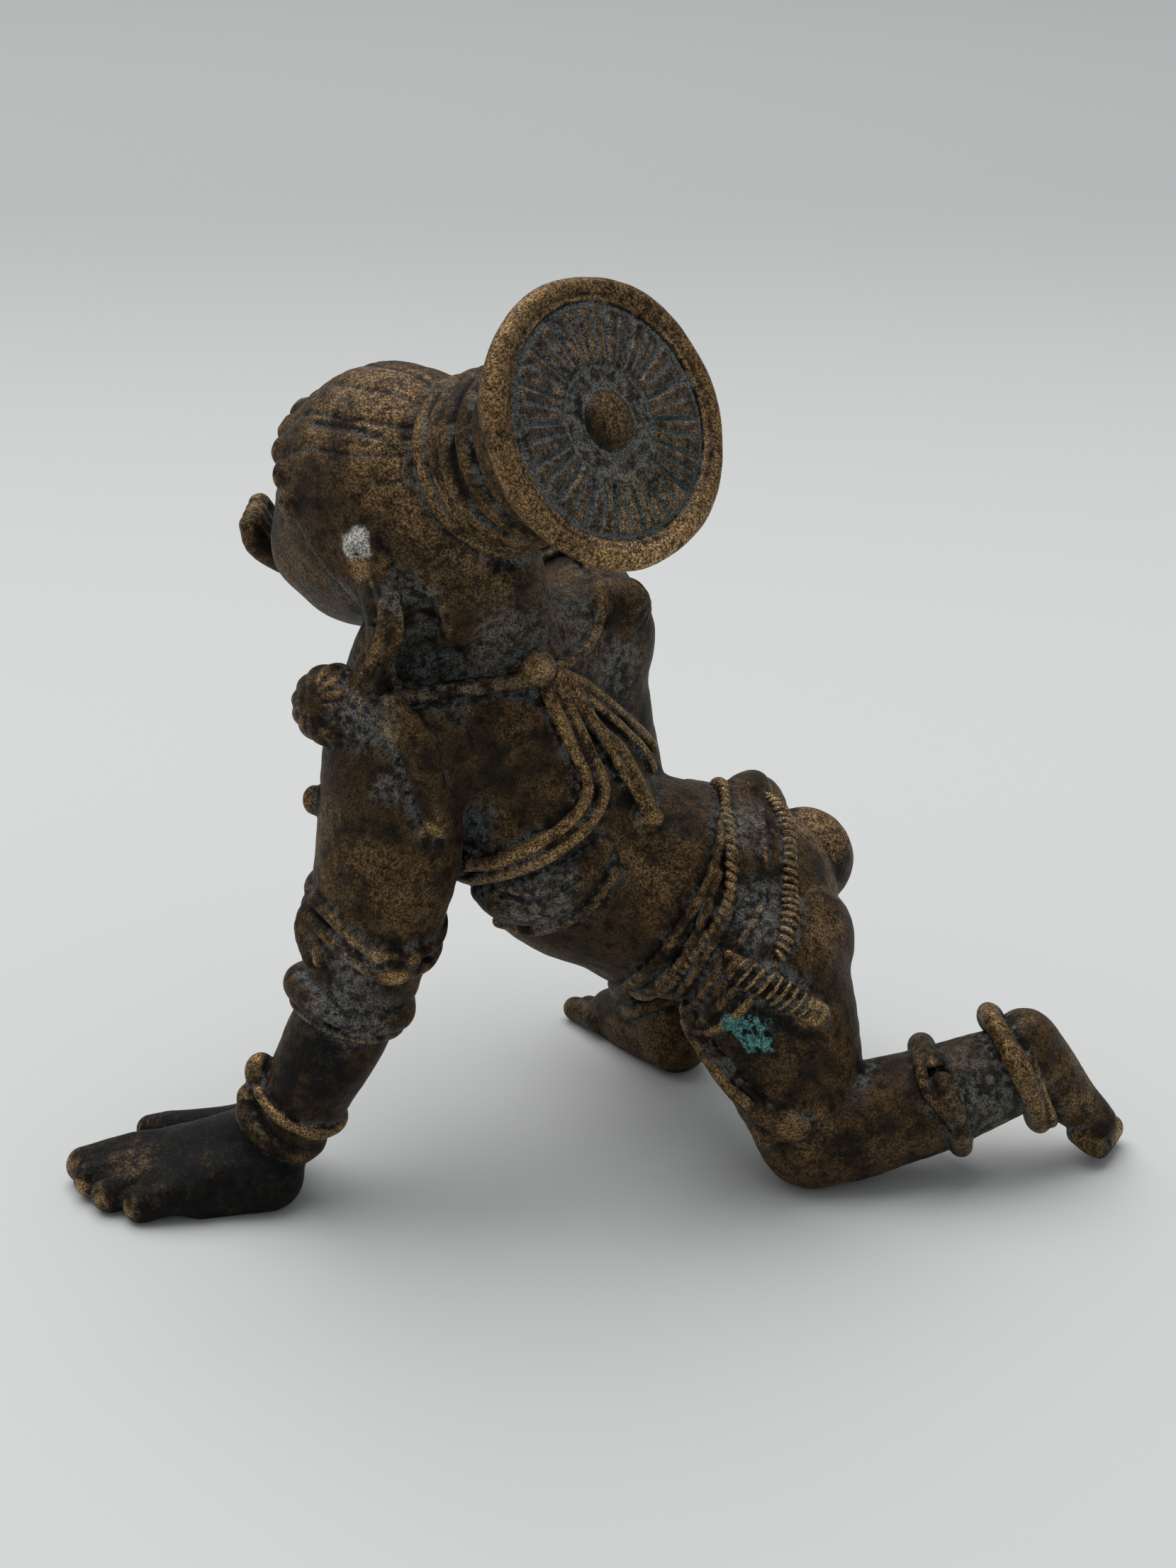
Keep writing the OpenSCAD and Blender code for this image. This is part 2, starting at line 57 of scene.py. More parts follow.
# grid steps in mm for ornaments, large ornaments and the body
FINE, MIDDLE, BODY_STEP = ((0.1, 0.13, 0.17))
TONGUE = 0.7          # how far a piece reaches under its neighbour, mm
FAR = 9.0             # distance given where no mass is near, mm
MARGIN = 2.2          # how far outside its own box a mass is worked out, mm
TINY = 1e-9           # keeps divisions clear of zero


# ---------------------------------------------------------------- directions and curves

def V(*a):
    """A vector of floats."""
    return np.array(a, float)


def unit(v):
    """v at length 1."""
    v = np.asarray(v, float)
    return v / np.linalg.norm(v)


def across(axis, hint=(0.3, 0.5, 0.8)):
    """Two directions square to an axis and to each other."""
    e1 = unit(np.cross(axis, hint))
    return e1, np.cross(axis, e1)


def frame_of(fwd, up):
    """Forward, left and up, as the rows of a turn."""
    f = unit(fwd)
    left = unit(np.cross(up, f))
    return np.array([f, left, np.cross(f, left)])


def turned(p, rows):
    """The coordinates of p along each row."""
    return [row[0] * p[0] + row[1] * p[1] + row[2] * p[2] for row in rows]


def step01(x, lo, hi):
    """Rises smoothly from 0 at lo to 1 at hi."""
    t = np.clip((x - lo) / (hi - lo), 0, 1)
    return t * t * (3 - 2 * t)


def spline(pts, n):
    """Catmull-Rom curve through the rows of pts, n steps a span."""
    p = np.asarray(pts, float)
    p = np.vstack([2 * p[0] - p[1], p, 2 * p[-1] - p[-2]])
    out = []
    for i in range(1, len(p) - 2):
        a, b, c, d = p[i - 1], p[i], p[i + 1], p[i + 2]
        for j in range(n):
            t = j / n
            out.append(0.5 * ((2 * b) + (c - a) * t + (2 * a - 5 * b + 4 * c - d) * t * t
                              + (3 * b - a - 3 * c + d) * t ** 3))
    out.append(p[-2])
    return np.array(out)


def even(path, gap):
    """Points along a polyline, gap apart."""
    seg = np.linalg.norm(np.diff(path, axis=0), axis=1)
    s = np.concatenate([[0], np.cumsum(seg)])
    n = max(2, int(round(s[-1] / gap)) + 1)
    u = np.linspace(0, s[-1], n)
    return np.stack([np.interp(u, s, path[:, i]) for i in range(path.shape[1])], 1)


# ---------------------------------------------------------------- distance field

def smin(a, b, k):
    """The lesser of a and b, blended over k."""
    if k <= 0:
        return np.minimum(a, b)
    h = np.clip(0.5 + 0.5 * (b - a) / k, 0, 1)
    return b + (a - b) * h - k * h * (1 - h)


def smax(a, b, k):
    """The greater of a and b, blended over k."""
    return -smin(-a, -b, k)


class Op:
    """A mass of one piece. Atoms are (low, high, function), and kind is add, cut or shell."""

    def __init__(self, part, atoms, k, kind, margin):
        self.part, self.atoms, self.k, self.kind, self.margin = part, atoms, k, kind, margin
        self.lo = np.min([a[0] for a in atoms], 0)
        self.hi = np.max([a[1] for a in atoms], 0)


OPS = []
part_now = [None]


def piece(name):
    """The masses that follow belong to this piece."""
    part_now[0] = name


def add(atoms, k=0.3, kind="add", margin=MARGIN):
    OPS.append(Op(part_now[0], atoms, k, kind, margin))


def cone_atom(a, b, squash=None):
    """Round cone between two rows (x, y, z, radius); squash = (direction, factor) flattens it."""
    ra, rb = float(a[3]), float(b[3])
    pa, pb = a[:3], b[:3]
    l2 = float((pb - pa) @ (pb - pa)) + TINY
    ab = (pb - pa).tolist()
    sq = None if squash is None else (unit(squash[0]).tolist(), 1 / float(squash[1]) ** 2 - 1)
    low, high = np.minimum(pa, pb) - max(ra, rb), np.maximum(pa, pb) + max(ra, rb)
    pa = pa.tolist()

    def f(x, y, z, _=None):
        px, py, pz = x - pa[0], y - pa[1], z - pa[2]
        t = np.clip((px * ab[0] + py * ab[1] + pz * ab[2]) / l2, 0, 1)
        dx, dy, dz = px - t * ab[0], py - t * ab[1], pz - t * ab[2]
        q2 = dx * dx + dy * dy + dz * dz
        if sq is not None:
            c = dx * sq[0][0] + dy * sq[0][1] + dz * sq[0][2]
            q2 = q2 + sq[1] * c * c
        return np.sqrt(q2) - (ra + t * (rb - ra))
    return (low, high, f)


def limb(pts, k=0.3, n=5, squash=None, kind="add", margin=MARGIN):
    """A smooth limb through rows (x, y, z, radius), n cones a span."""
    s = spline(pts, n)
    add([cone_atom(a, b, squash) for a, b in zip(s[:-1], s[1:])], k, kind, margin)


def ellipsoid(q, r):
    """Distance from an ellipsoid of half axes r, for q in its own axes."""
    k0 = np.sqrt(sum((q[i] / r[i]) ** 2 for i in range(3)))
    k1 = np.sqrt(sum((q[i] / r[i] ** 2) ** 2 for i in range(3))) + TINY
    return k0 * (k0 - 1) / k1


def blob(c, radii, axes=None, k=0.3, kind="add", margin=MARGIN):
    """An ellipsoid about c, with its half axes along the rows of axes."""
    big, at = max(radii), np.asarray(c, float)
    c, r = at.tolist(), [float(v) for v in radii]
    m = (np.eye(3) if axes is None else np.asarray(axes, float)).tolist()

    def f(x, y, z, _=None):
        return ellipsoid(turned((x - c[0], y - c[1], z - c[2]), m), r)
    add([(at - big, at + big, f)], k, kind, margin)


def ring(c, axis, big, r, k=0.2, oval=None, twist=0, depth=0.12, wobble=0.0):
    """Ring of section r. Oval is (direction, factor), twist a number of rope turns."""
    at, a = np.asarray(c, float), unit(axis)
    e1, e2 = (e.tolist() for e in across(a))
    c, a = at.tolist(), a.tolist()
    if oval is not None:
        oval = (unit(oval[0]).tolist(), float(oval[1]))

    def f(x, y, z, _=None):
        px, py, pz = x - c[0], y - c[1], z - c[2]
        h = px * a[0] + py * a[1] + pz * a[2]
        qx, qy, qz = px - h * a[0], py - h * a[1], pz - h * a[2]
        if oval is not None:
            s, m = oval
            e = (qx * s[0] + qy * s[1] + qz * s[2]) * (1 / m - 1)
            qx, qy, qz = qx + e * s[0], qy + e * s[1], qz + e * s[2]
        w = np.sqrt(qx * qx + qy * qy + qz * qz) - big
        rr = r
        if twist or wobble:
            ang = np.arctan2(*turned((qx, qy, qz), (e2, e1)))
            if wobble:
                h = h - wobble * np.sin(2 * ang + 1.0)
                rr = rr * (1 + 0.12 * np.sin(3 * ang + 0.6) + 0.06 * np.sin(7 * ang))
            if twist:
                rr = rr * (1 - depth + depth * np.cos(twist * ang + 1.6 * np.arctan2(h, w)))
        return np.sqrt(w * w + h * h) - rr
    m = (big + r * 1.2) * (1 if oval is None else max(1, oval[1])) + r
    add([(at - m, at + m, f)], k, margin=1.4)


def sub_slice(axes, lo, hi, pad):
    """Slices of the grid lines within pad of a box, or None."""
    out = []
    for i in range(3):
        a = axes[i]
        s, e = np.searchsorted(a, lo[i] - pad), np.searchsorted(a, hi[i] + pad)
        if e <= s:
            return None
        out.append(slice(int(s), int(e)))
    return tuple(out)


def corners(f):
    """Each corner of a grid cell, with its weight for a point at the fractions f of the cell."""
    for corner in np.ndindex(2, 2, 2):
        x, y, z = (f[:, i] if corner[i] else 1 - f[:, i] for i in range(3))
        yield corner, x * y * z


LATTICE_SIZE = 24
LATTICE = np.random.default_rng(11).random((LATTICE_SIZE,) * 3).astype(np.float32)


def value_noise(p, size, shift=0.0):
    """Smooth noise in -1..1 with lumps about size mm across, at the rows of p."""
    q = p / size + shift
    i = np.floor(q).astype(int)
    f = q - i
    f = f * f * f * (f * (f * 6 - 15) + 10)
    out = 0
    for corner, w in corners(f):
        out = out + w * LATTICE[tuple(((i + corner) % LATTICE_SIZE).T)]
    return out * 2 - 1


def sample(G, lo, h, p):
    """Trilinear value of grid G at the points p."""
    q = (p - lo) / h
    q = np.clip(q, 0, np.array(G.shape) - 1.001)
    i = q.astype(int)
    out = 0
    for corner, w in corners(q - i):
        out = out + w * G[tuple((i + corner).T)]
    return out


def op_field(o, axes, shape_field):
    """(slice, distance) of one op in a window, or None."""
    s = sub_slice(axes, o.lo, o.hi, o.margin + o.k)
    if s is None:
        return None
    sub = [axes[i][s[i]] for i in range(3)]
    d = np.full([len(a) for a in sub], FAR, np.float32)
    for lo, hi, f in o.atoms:
        t = sub_slice(sub, lo, hi, o.margin + o.k)
        if t is None:
            continue
        x, y, z = sub[0][t[0]][:, None, None], sub[1][t[1]][None, :, None], sub[2][t[2]][None, None, :]
        under = shape_field[s][t] if o.kind == "shell" else None
        d[t] = np.minimum(d[t], f(x, y, z, under))
    return s, d


def window(lo, hi, h, part):
    """Whole-figure distance D, distance to the part's own masses, and to all others, on a grid."""
    axes = [np.arange(lo[i], hi[i] + h, h).astype(np.float32) for i in range(3)]
    shape = [len(a) for a in axes]
    D, own, oth = (np.full(shape, FAR, np.float32) for _ in range(3))
    for o in OPS:
        got = op_field(o, axes, D)
        if got is None:
            continue
        s, d = got
        if o.kind == "cut":
            D[s] = smax(D[s], -d, o.k)
        else:
            D[s] = smin(D[s], d, o.k)
            t = own if o.part == part else oth
            t[s] = np.minimum(t[s], d)
    above_floor = -axes[2][None, None, :]
    return np.maximum(D, above_floor), own, oth, axes


def body_distance(p):
    """Distance of the points p from the bare body."""
    x, y, z = p[:, 0], p[:, 1], p[:, 2]
    d = np.full(len(p), FAR)
    for o in BODY:
        e = np.full(len(p), FAR)
        for _, _, f in o.atoms:
            e = np.minimum(e, f(x, y, z))
        d = smin(d, e, o.k)
    return d


SETTLE_ROUNDS, SETTLE_EASE, SETTLE_PROBE = 14, 0.8, 0.06


def settle(pts, off=0.0):
    """Moves points onto the body's skin, off mm proud of it, and gives the skin's normals there."""
    p = np.array(pts, float)
    for _ in range(SETTLE_ROUNDS):
        d = body_distance(p)
        g = np.stack([body_distance(p + e) - body_distance(p - e) for e in np.eye(3) * SETTLE_PROBE], 1)
        g /= np.linalg.norm(g, axis=1)[:, None] + TINY
        p -= g * (d - off)[:, None] * SETTLE_EASE
    return p, g


# ---------------------------------------------------------------- skeleton

FACE_TURN = math.radians(38)
HEAD = V(-11.9, 4.0, 45.6)
SKULL = V(8.1, 6.9, 8.2)      # half axes of the head
FACING = frame_of(V(-math.cos(FACE_TURN), math.sin(FACE_TURN), 0.0), V(0, 0, 1))
BUN = unit(V(0.62, -0.68, 0.40))
BUN_SIDE = unit(np.cross(V(0, 0, 1), BUN))
BUN_AXES = np.array([BUN, BUN_SIDE, np.cross(BUN, BUN_SIDE)])
BUN_LEN = 12.2
DISC = V(1.6, -7.9, 53.9)
PLATE_R, RIM_R, FLOWER_R, FLOWER_BOX = 7.95, 7.9, 7.1, 7.4
PETALS = 18
SHIN = unit(V(0.9, 0.08, 0.43))      # direction of the left shin


def hp(f, l, u):
    """Point at forward, left, up of the head's middle."""
    return HEAD + f * FACING[0] + l * FACING[1] + u * FACING[2]


def hl(f, l, u, r):
    """The same point as a row for limb, with radius r."""
    return [*hp(f, l, u), r]


# ---------------------------------------------------------------- masses of the body

piece("waist")
limb([(4.5, 4.8, 18.9, 7), (0.4, 4.6, 20.8, 6.9), (-3.2, 3.6, 25, 6.9)], 0.5)
blob((-1.2, 3.4, 19.6), (5.6, 5.2, 4.6), k=1.2)
piece("pelvis")
limb([(10.1, 5.5, 17.4, 6.8), (8, 5.3, 17.9, 7.15), (4.5, 5, 18.7, 7.1)], 0.5)
piece("chest")
limb([(-2.6, 4.2, 25.4, 7), (-5.5, 3.4, 30, 6.4)], 0.5)
limb([(-11.5, -1.2, 30.4, 4.6), (-6.5, 3.2, 32.5, 5.2), (-1.2, 8.4, 33.4, 4.6)], 1.5)
limb([(0, 8.8, 34, 3.8), (0.5, 9.4, 28.5, 4), (1.5, 9.2, 25.5, 3.4)], 1)
limb([(-4.8, 4.2, 35.4, 3.8), (-2.6, 6.6, 35.6, 3.9), (-0.2, 9, 34.9, 4)], 1.6)
piece("neck")
limb([(-7.5, 2.8, 35, 4.2), (-9, 3.2, 39, 3.7), (-10, 3.6, 42, 3.8)], 1.2)
limb([(-4.6, 2.2, 35.6, 3), (-5.2, 1.8, 38.5, 3), (-6.2, 1.6, 42, 3.4)], 1)
limb([(-9.5, 1.5, 40, 3.2), (-12, -0.6, 37.6, 2.5), (-13, -1.4, 34.6, 2.7)], 1.2)
piece("left_thigh")
limb([(11.8, 0.9, 14.8, 5.4), (13.4, -0.6, 9, 4.8), (15, -1.7, 3.5, 3.6)], 0.9)
piece("left_shin")
limb([(15, -1.7, 3.5, 3.6), (18.6, -1.4, 4.3, 3.8), (23.5, -0.6, 5.5, 3.5), (28.6, 0.2, 7.2, 2.9)], 0.5)
piece("right_thigh")
limb([(11, 10, 17, 5.2), (6.5, 15, 17, 4.7), (2.5, 18.6, 16, 3.6)], 0.9)
piece("right_shin")
limb([(2.5, 18.6, 16, 3.6), (3.6, 17.3, 11, 3.7), (6, 14.6, 4.6, 2.8)], 0.5)
piece("left_buttock")
blob((13.9, 2, 16.1), (3.9, 3.9, 4.1), k=0.4)
piece("right_buttock")
blob((14.8, 9.1, 18.8), (3.4, 3.5, 3.5), k=0.35)
piece("left_upper_arm")
limb([(-12.5, -2.6, 30.6, 4.3), (-12.7, -3, 24.5, 4.65), (-14.5, -3.8, 16.8, 3.75)], 0.9)
piece("left_forearm")
limb([(-14.9, -3.8, 16.2, 3.5), (-15.8, -3.9, 13.4, 3.2), (-16.9, -4, 11, 3.2), (-19.3, -3.6, 6.4, 2.75)],
     0.3)
piece("right_upper_arm")
limb([(0.2, 9.2, 35.2, 4.2), (-2, 14.6, 36.6, 4.1), (-4.6, 20, 37, 3.6)], 0.9)
piece("right_forearm")
limb([(-4.6, 20, 37, 3.6), (-9.2, 17.8, 37, 3.1), (-13.8, 15, 37.6, 2.3)], 0.3)
BODY = list(OPS)

# feet
piece("left_foot")
limb([(29.6, 0.5, 9, 2.5), (30.8, 0.9, 6.8, 2.75), (33, 1.2, 4.3, 2), (34.8, 1.2, 2.7, 1.5)], 0.7,
     squash=(V(0.75, 0, 0.66), 0.86))
for i in range(5):
    y0, y1 = 2.5 - i * 0.62, 2.7 - i * 0.72
    limb([(34.0 - i * 0.15, y0, 2.5, 0.85), (35.2 - i * 0.22, y1, 1.75, 0.8),
          (36.1 - i * 0.32, y1, 1.3, 0.95 - i * 0.08)], 0.14, n=3, margin=1.2)
piece("right_foot")
limb([(6.4, 14.2, 2.4, 2.6), (4, 17.2, 1.9, 2.4), (2, 20, 1.3, 2)], 0.6)
for i in range(5):
    limb([(0.9 + i * 0.85, 19.0 + i * 0.6, 1.2, 0.95), (-0.9 + i * 0.95, 21.6 + i * 0.35, 0.9,
                                                        0.98 - i * 0.08)],
         0.12, n=2, margin=1.2)

# left hand, planted
piece("left_hand")
limb([(-20.6, -3.3, 4.4, 2.9), (-22.8, -3, 2.9, 3.2), (-26.6, -2.8, 1.9, 2.9)], 0.6,
     squash=(V(0, 0, 1), 0.82))
limb([(-21.3, -4.9, 2.2, 2.5), (-25.5, -5.4, 1.7, 2.3)], 0.6)
for b, m, t, r in (((-26.6, -1.7, 2.2), (-30.4, -2.1, 2.1), (-33.8, -2.4, 1.35), 1.4),
                   ((-26.6, -3.4, 2.1), (-30.2, -3.8, 2), (-33, -4.1, 1.25), 1.4),
                   ((-26.4, -5, 1.9), (-29.2, -5.4, 1.8), (-31.6, -5.8, 1.15), 1.35),
                   ((-25.6, -6.4, 1.7), (-27.6, -6.8, 1.6), (-29.3, -7.1, 1.1), 1.3)):
    limb([(*b, r * 1.1), (*m, r), (*t, r * 0.88)], 0.5, n=4, margin=1.4)
limb([(-21.4, -0.6, 3.4, 1.8), (-25.4, 0.9, 2.3, 1.4), (-28.4, 2, 1.7, 1.2), (-30.2, 2.6, 1.3, 0.95)],
     0.5, n=4)

# right hand, cupped round the ball
piece("right_hand")
limb([(-13.8, 15, 37.6, 2.2), (-16.4, 13.8, 38.7, 2.1), (-18.8, 13, 39.9, 1.7)], 0.4)
for i in range(4):
    y = 15.6 - i * 1.65
    limb([(-17.6, y, 39.3, 1), (-19.8 - i * 0.1, y - 0.5, 40, 1), (-21.4 - i * 0.1, y - 0.9, 41.2, 0.92),
          (-22.1, y - 1.2, 42.5, 0.8)], 0.18, n=3, margin=1.4)
limb([(-15.4, 11.8, 38.6, 1.15), (-17, 10.2, 40.4, 1), (-18.3, 10.4, 42.4, 0.8)], 0.25, n=3)
piece("butter_ball")
blob((-17.6, 12.8, 42.2), (2.4, 2.4, 2.4), k=0.12)

# ---------------------------------------------------------------- head

piece("head")
blob(HEAD, SKULL, FACING, 0.6)
blob(hp(2.6, 0, -2.2), (5.6, 5.9, 5.6), FACING, 1.5)
blob(hp(3.4, 0, -4.4), (4.2, 4.4, 4), FACING, 1.2)
blob(hp(6.1, 0, -6.9), (1.5, 1.8, 1.3), FACING, 0.8)
for s in (-1, 1):
    blob(hp(5.2, s * 2.9, -3.3), (2.2, 2.3, 2.3), FACING, 1.2)
    blob(hp(7.9, s * 2.5, 0), (0.75, 1.8, 0.9), FACING, 0.6, "cut")
    blob(hp(6.62, s * 2.45, -0.1), (1.15, 1.5, 0.98), FACING, 0.15)
    limb([hl(7.6, s * 0.9, 1.45, 0.34), hl(7.2, s * 2.4, 1.85, 0.32), hl(5.8, s * 4.2, 1.1, 0.22)], 0.35,
         n=4)
    limb([hl(7.40, s * 1.1, -0.1, 0.18), hl(7.72, s * 2.4, 0.52, 0.2), hl(6.7, s * 3.9, 0, 0.18)], 0.12,
         n=4)
    limb([hl(7.40, s * 1.1, -0.15, 0.16), hl(7.52, s * 2.4, -0.78, 0.17), hl(6.7, s * 3.8, -0.1, 0.16)],
         0.12, n=4)
    limb([hl(7.25, s * 1.55, -4.62, 0.22), hl(7.85, s * 0.5, -4.3, 0.4), hl(7.9, 0, -4.45, 0.36)], 0.25,
         n=4)
    limb([hl(7.15, s * 1.3, -4.95, 0.22), hl(7.7, 0, -5.2, 0.5)], 0.3, n=4)
    blob(hp(8.25, s * 0.8, -2.75), (0.8, 0.6, 0.55), FACING, 0.3)
    blob(hp(8.5, s * 0.45, -3.35), (0.3, 0.22, 0.25), FACING, 0.1, "cut")
limb([hl(7.5, 0, 0.7, 0.55), hl(8.3, 0, -1.2, 0.65), hl(8.85, 0, -2.55, 0.75)], 0.5, n=4)
limb([hl(7.2, -1.6, -4.75, 0.12), hl(8.35, 0, -4.8, 0.12), hl(7.2, 1.6, -4.75, 0.12)], 0.12, n=5,
     kind="cut")

# ears
for s, name in ((1, "left_ear"), (-1, "right_ear")):
    piece(name)
    limb([hl(-2.1, s * 6, -3.5, 0.5), hl(-1.8, s * 6.6, -1.7, 0.6), hl(-2.8, s * 6.8, -0.5, 0.75),
          hl(-4, s * 6.3, -1.1, 0.7), hl(-4.1, s * 6, -2.9, 0.65), hl(-3.6, s * 5.8, -4.9, 0.7)], 0.25, n=4)
    blob(hp(-3, s * 6.1, -2.7), (1.3, 0.7, 2), FACING, 0.3)
    limb([hl(-2.9, s * 6.4, -1.5, 0.35), hl(-3.3, s * 6.5, -2.8, 0.35), hl(-3, s * 6.1, -4.1, 0.4)], 0.15,
         n=4)
    limb([hl(-3.2, s * 5.8, -4.7, 0.9), hl(-3.2, s * 5.4, -6.3, 1), hl(-2.8, s * 5.2, -7.8, 0.9)], 0.35,
         n=4)
    blob(hp(-2.6, s * 6.7, -0.5), (0.95, 0.8, 0.95), FACING, 0.2)

# hair: a cap with strands that run back to the bun
HAIR_THICK = 0.62
BOX = 9.2             # half size of a box that holds the cap, or the disc, mm


def hair_cap():
    """The cap: grooved strands that fan out from the bun's axis, cut off along the hairline."""
    r = SKULL + HAIR_THICK

    def f(x, y, z, _=None):
        p = (x - HEAD[0], y - HEAD[1], z - HEAD[2])
        q = turned(p, FACING)
        d = ellipsoid(q, r)
        b = turned(p, BUN_AXES)
        ang = np.arctan2(b[1], b[2])
        reach = np.sqrt(b[1] ** 2 + b[2] ** 2)
        wav = ang + 0.05 * np.sin(b[0] * 0.7 + 2 * ang)
        top = step01(q[2], 1.5, 6) * 0.94 + 0.06
        groove = 0.19 * top * (1 - np.abs(np.sin(wav * 9.5 + 0.4))) ** 2.6 * step01(reach, 1.5, 4.5)
        fine = 0.045 * top * (1 - np.abs(np.sin(wav * 38 + 1)))
        d = d + groove + fine
        face = 0.78 * q[0] - 0.63 * q[2] - 1.9 - 0.25 * np.sin(q[1] * 1.6)
        return smax(d, face, 0.5)
    add([(HEAD - BOX, HEAD + BOX, f)], 0.12)


piece("hair_cap")
hair_cap()
blob(hp(-4.4, 0.6, -4.6), (3.9, 4.7, 3.9), FACING, 0.9)
limb([hl(2.4, 5.35, 5.7, 0.1), hl(1, 5.45, 5.95, 0.26), hl(-0.8, 5.45, 6, 0.28), hl(-3.4, 4.95, 5.6, 0.1)],
     0.3, kind="cut", n=5)

piece("forehead_curls")
CURL_ANGLES = np.radians(np.arange(-75, 76, 15))
for a in CURL_ANGLES:
    d = V((6.3 * math.cos(a) + 1.5 * (1 - math.cos(a))) / 8.2, 6.9 * math.sin(a) / 7,
          (5.2 * math.cos(a) - 0.4 * (1 - math.cos(a))) / 8.3)
    d = unit(d) * V(7.95, 6.95, 8.2)
    c = hp(*d)
    blob(c, (1.2, 1.1, 1.15), FACING, 0.3, margin=1.4)
    blob(c + unit(c - HEAD) * 1.2, (0.3, 0.3, 0.3), k=0.25, kind="cut", margin=0.8)

# bun: rolled coils, then the disc
piece("hair_bun")
B0 = DISC - BUN * BUN_LEN
limb([[*(B0 - 1.5 * BUN), 5.6], [*(B0 + 3 * BUN), 5.2], [*(B0 + 6 * BUN), 5]], 0.5, n=3)
for i in range(8):
    tilt = unit(BUN + 0.07 * V(math.sin(i * 2.1), math.cos(i * 1.7), math.sin(i * 1.3 + 1)))
    ring(B0 + (0.2 + 1.36 * i) * BUN, tilt, 4.8 + 0.32 * abs(i - 4.2) / 4, 0.78, 0.1, wobble=0.18)

E1, E2 = across(BUN, V(0.2, 0.9, 0.3))


def on_disc(x, y, z):
    """Height over the disc, distance from its middle, and angle round it."""
    h, a, b = turned((x - DISC[0], y - DISC[1], z - DISC[2]), (BUN, E1, E2))
    return h, np.sqrt(a * a + b * b), np.arctan2(b, a)


def disc_plate():
    """The slightly dished plate behind the flower."""
    def f(x, y, z, _=None):
        h, q, ang = on_disc(x, y, z)
        q = q * (1 + 0.012 * np.sin(2 * ang + 0.5) + 0.008 * np.sin(3 * ang))
        back = -1.7 + 0.35 * step01(q, 4, 8)
        front = -0.62 - 0.10 * step01(q, 0, 7)
        mid, half = (front + back) / 2, (front - back) / 2
        return smax(q - PLATE_R, np.abs(h - mid) - half, 0.2)
    add([(DISC - BOX, DISC + BOX, f)], 0.15)


def petals():
    """The flower: petals between incised lines, with a low ring of beads inside them."""
    def f(x, y, z, _=None):
        h, q, ang = on_disc(x, y, z)
        leaf = np.abs(np.cos(PETALS / 2 * ang + 0.35 * np.sin(2 * ang + 1)))
        vein = 0.10 * step01(leaf, 0.955, 0.995)
        # an incised line between petals, a round-backed leaf and its mid-vein
        rows = step01(q, 3.1, 3.7) * (1 - step01(q, 6.4, 7))
        high = -0.70 + 0.36 * step01(leaf, 0.05, 0.5) * rows - vein * rows
        low = 0.05 * np.cos(14 * ang + 1) * (1 - step01(np.abs(q - 2.7), 0.3, 0.6))
        d = np.maximum(h - high - low, -1.3 - h)
        return np.maximum(d, q - FLOWER_R) * 0.8
    add([(DISC - FLOWER_BOX, DISC + FLOWER_BOX, f)], 0.06, margin=1.2)


piece("bun_disc")
disc_plate()
piece("disc_petals")
petals()
piece("disc_rim")
OVAL = (unit(E1 * 0.5 + E2), 1.02)
ring(DISC - 0.95 * BUN, BUN, RIM_R, 0.74, 0.2, oval=OVAL, wobble=0.10)
ring(DISC - 1.6 * BUN, BUN, 7.55, 0.7, 0.3, oval=OVAL, wobble=0.10)
ring(DISC - 0.72 * BUN, BUN, 7.25, 0.3, 0.12, oval=OVAL, wobble=0.06)
piece("disc_boss")
blob(DISC - 0.85 * BUN, (0.85, 1.85, 1.9), BUN_AXES, 0.08)
blob(DISC - 0.9 * BUN, (0.7, 1.95, 1.95), BUN_AXES, 0.08)

# ---------------------------------------------------------------- ornaments


def laid(pts, r, k=0.12, off=None, taper=None):
    """A cord laid on the skin through pts."""
    path = even(spline(pts, 6), 0.9)
    path, _ = settle(path, r * 0.45 if off is None else off)
    rad = np.full(len(path), r)
    if taper is not None:
        rad = r * (1 + (taper - 1) * np.linspace(0, 1, len(path)) ** 1.5)
    limb(np.hstack([path, rad[:, None]]), k, n=2, margin=1.3)


def beads(pts, gap, r, k=0.1, lean=35, off=0.3, close=True, uneven=0.12):
    """A row of beads, each a short twist of a rolled cord, laid on the skin."""
    path = even(spline(pts, 8), 0.5)
    path, _ = settle(path, off)
    path = even(path, gap)
    path, nrm = settle(path, off)
    tan = np.gradient(path, axis=0)
    for i in range(len(path) - (1 if close else 0)):
        t, n = unit(tan[i]), unit(nrm[i])
        s = unit(np.cross(n, t))
        c, w = math.cos(math.radians(lean)), math.sin(math.radians(lean))
        long = unit(s * c + t * w)
        e = uneven * math.sin(i * 12.9898)
        blob(path[i], (r * 1.25 * (1 + e), gap * 0.52, r * (0.95 + e)),
             np.array([long, unit(np.cross(n, long)), n]), k, margin=0.9)


def fluted(c, axis, r, n, k=0.12, squash=1):
    """A ball with n flutes round its axis, stretched along it by squash."""
    c, a = np.asarray(c, float), unit(axis)
    rows = (a, *across(a))

    def f(x, y, z, _=None):
        h, u, v = turned((x - c[0], y - c[1], z - c[2]), rows)
        h = h / squash
        flute = 0.15 * (1 - np.abs(np.cos(n * np.arctan2(v, u) / 2)))
        return np.sqrt(h * h + u * u + v * v) - r + flute * step01(np.sqrt(u * u + v * v), 0.3, 1.4)
    m = r * max(1, squash) + 0.2
    add([(c - m, c + m, f)], k, margin=1.4)


piece("belt_clasp")
limb([(10.4, 7.4, 23.8, 1.4), (11.4, 9.4, 23, 1.8), (12.2, 11.2, 21.8, 1.5)], 0.4)

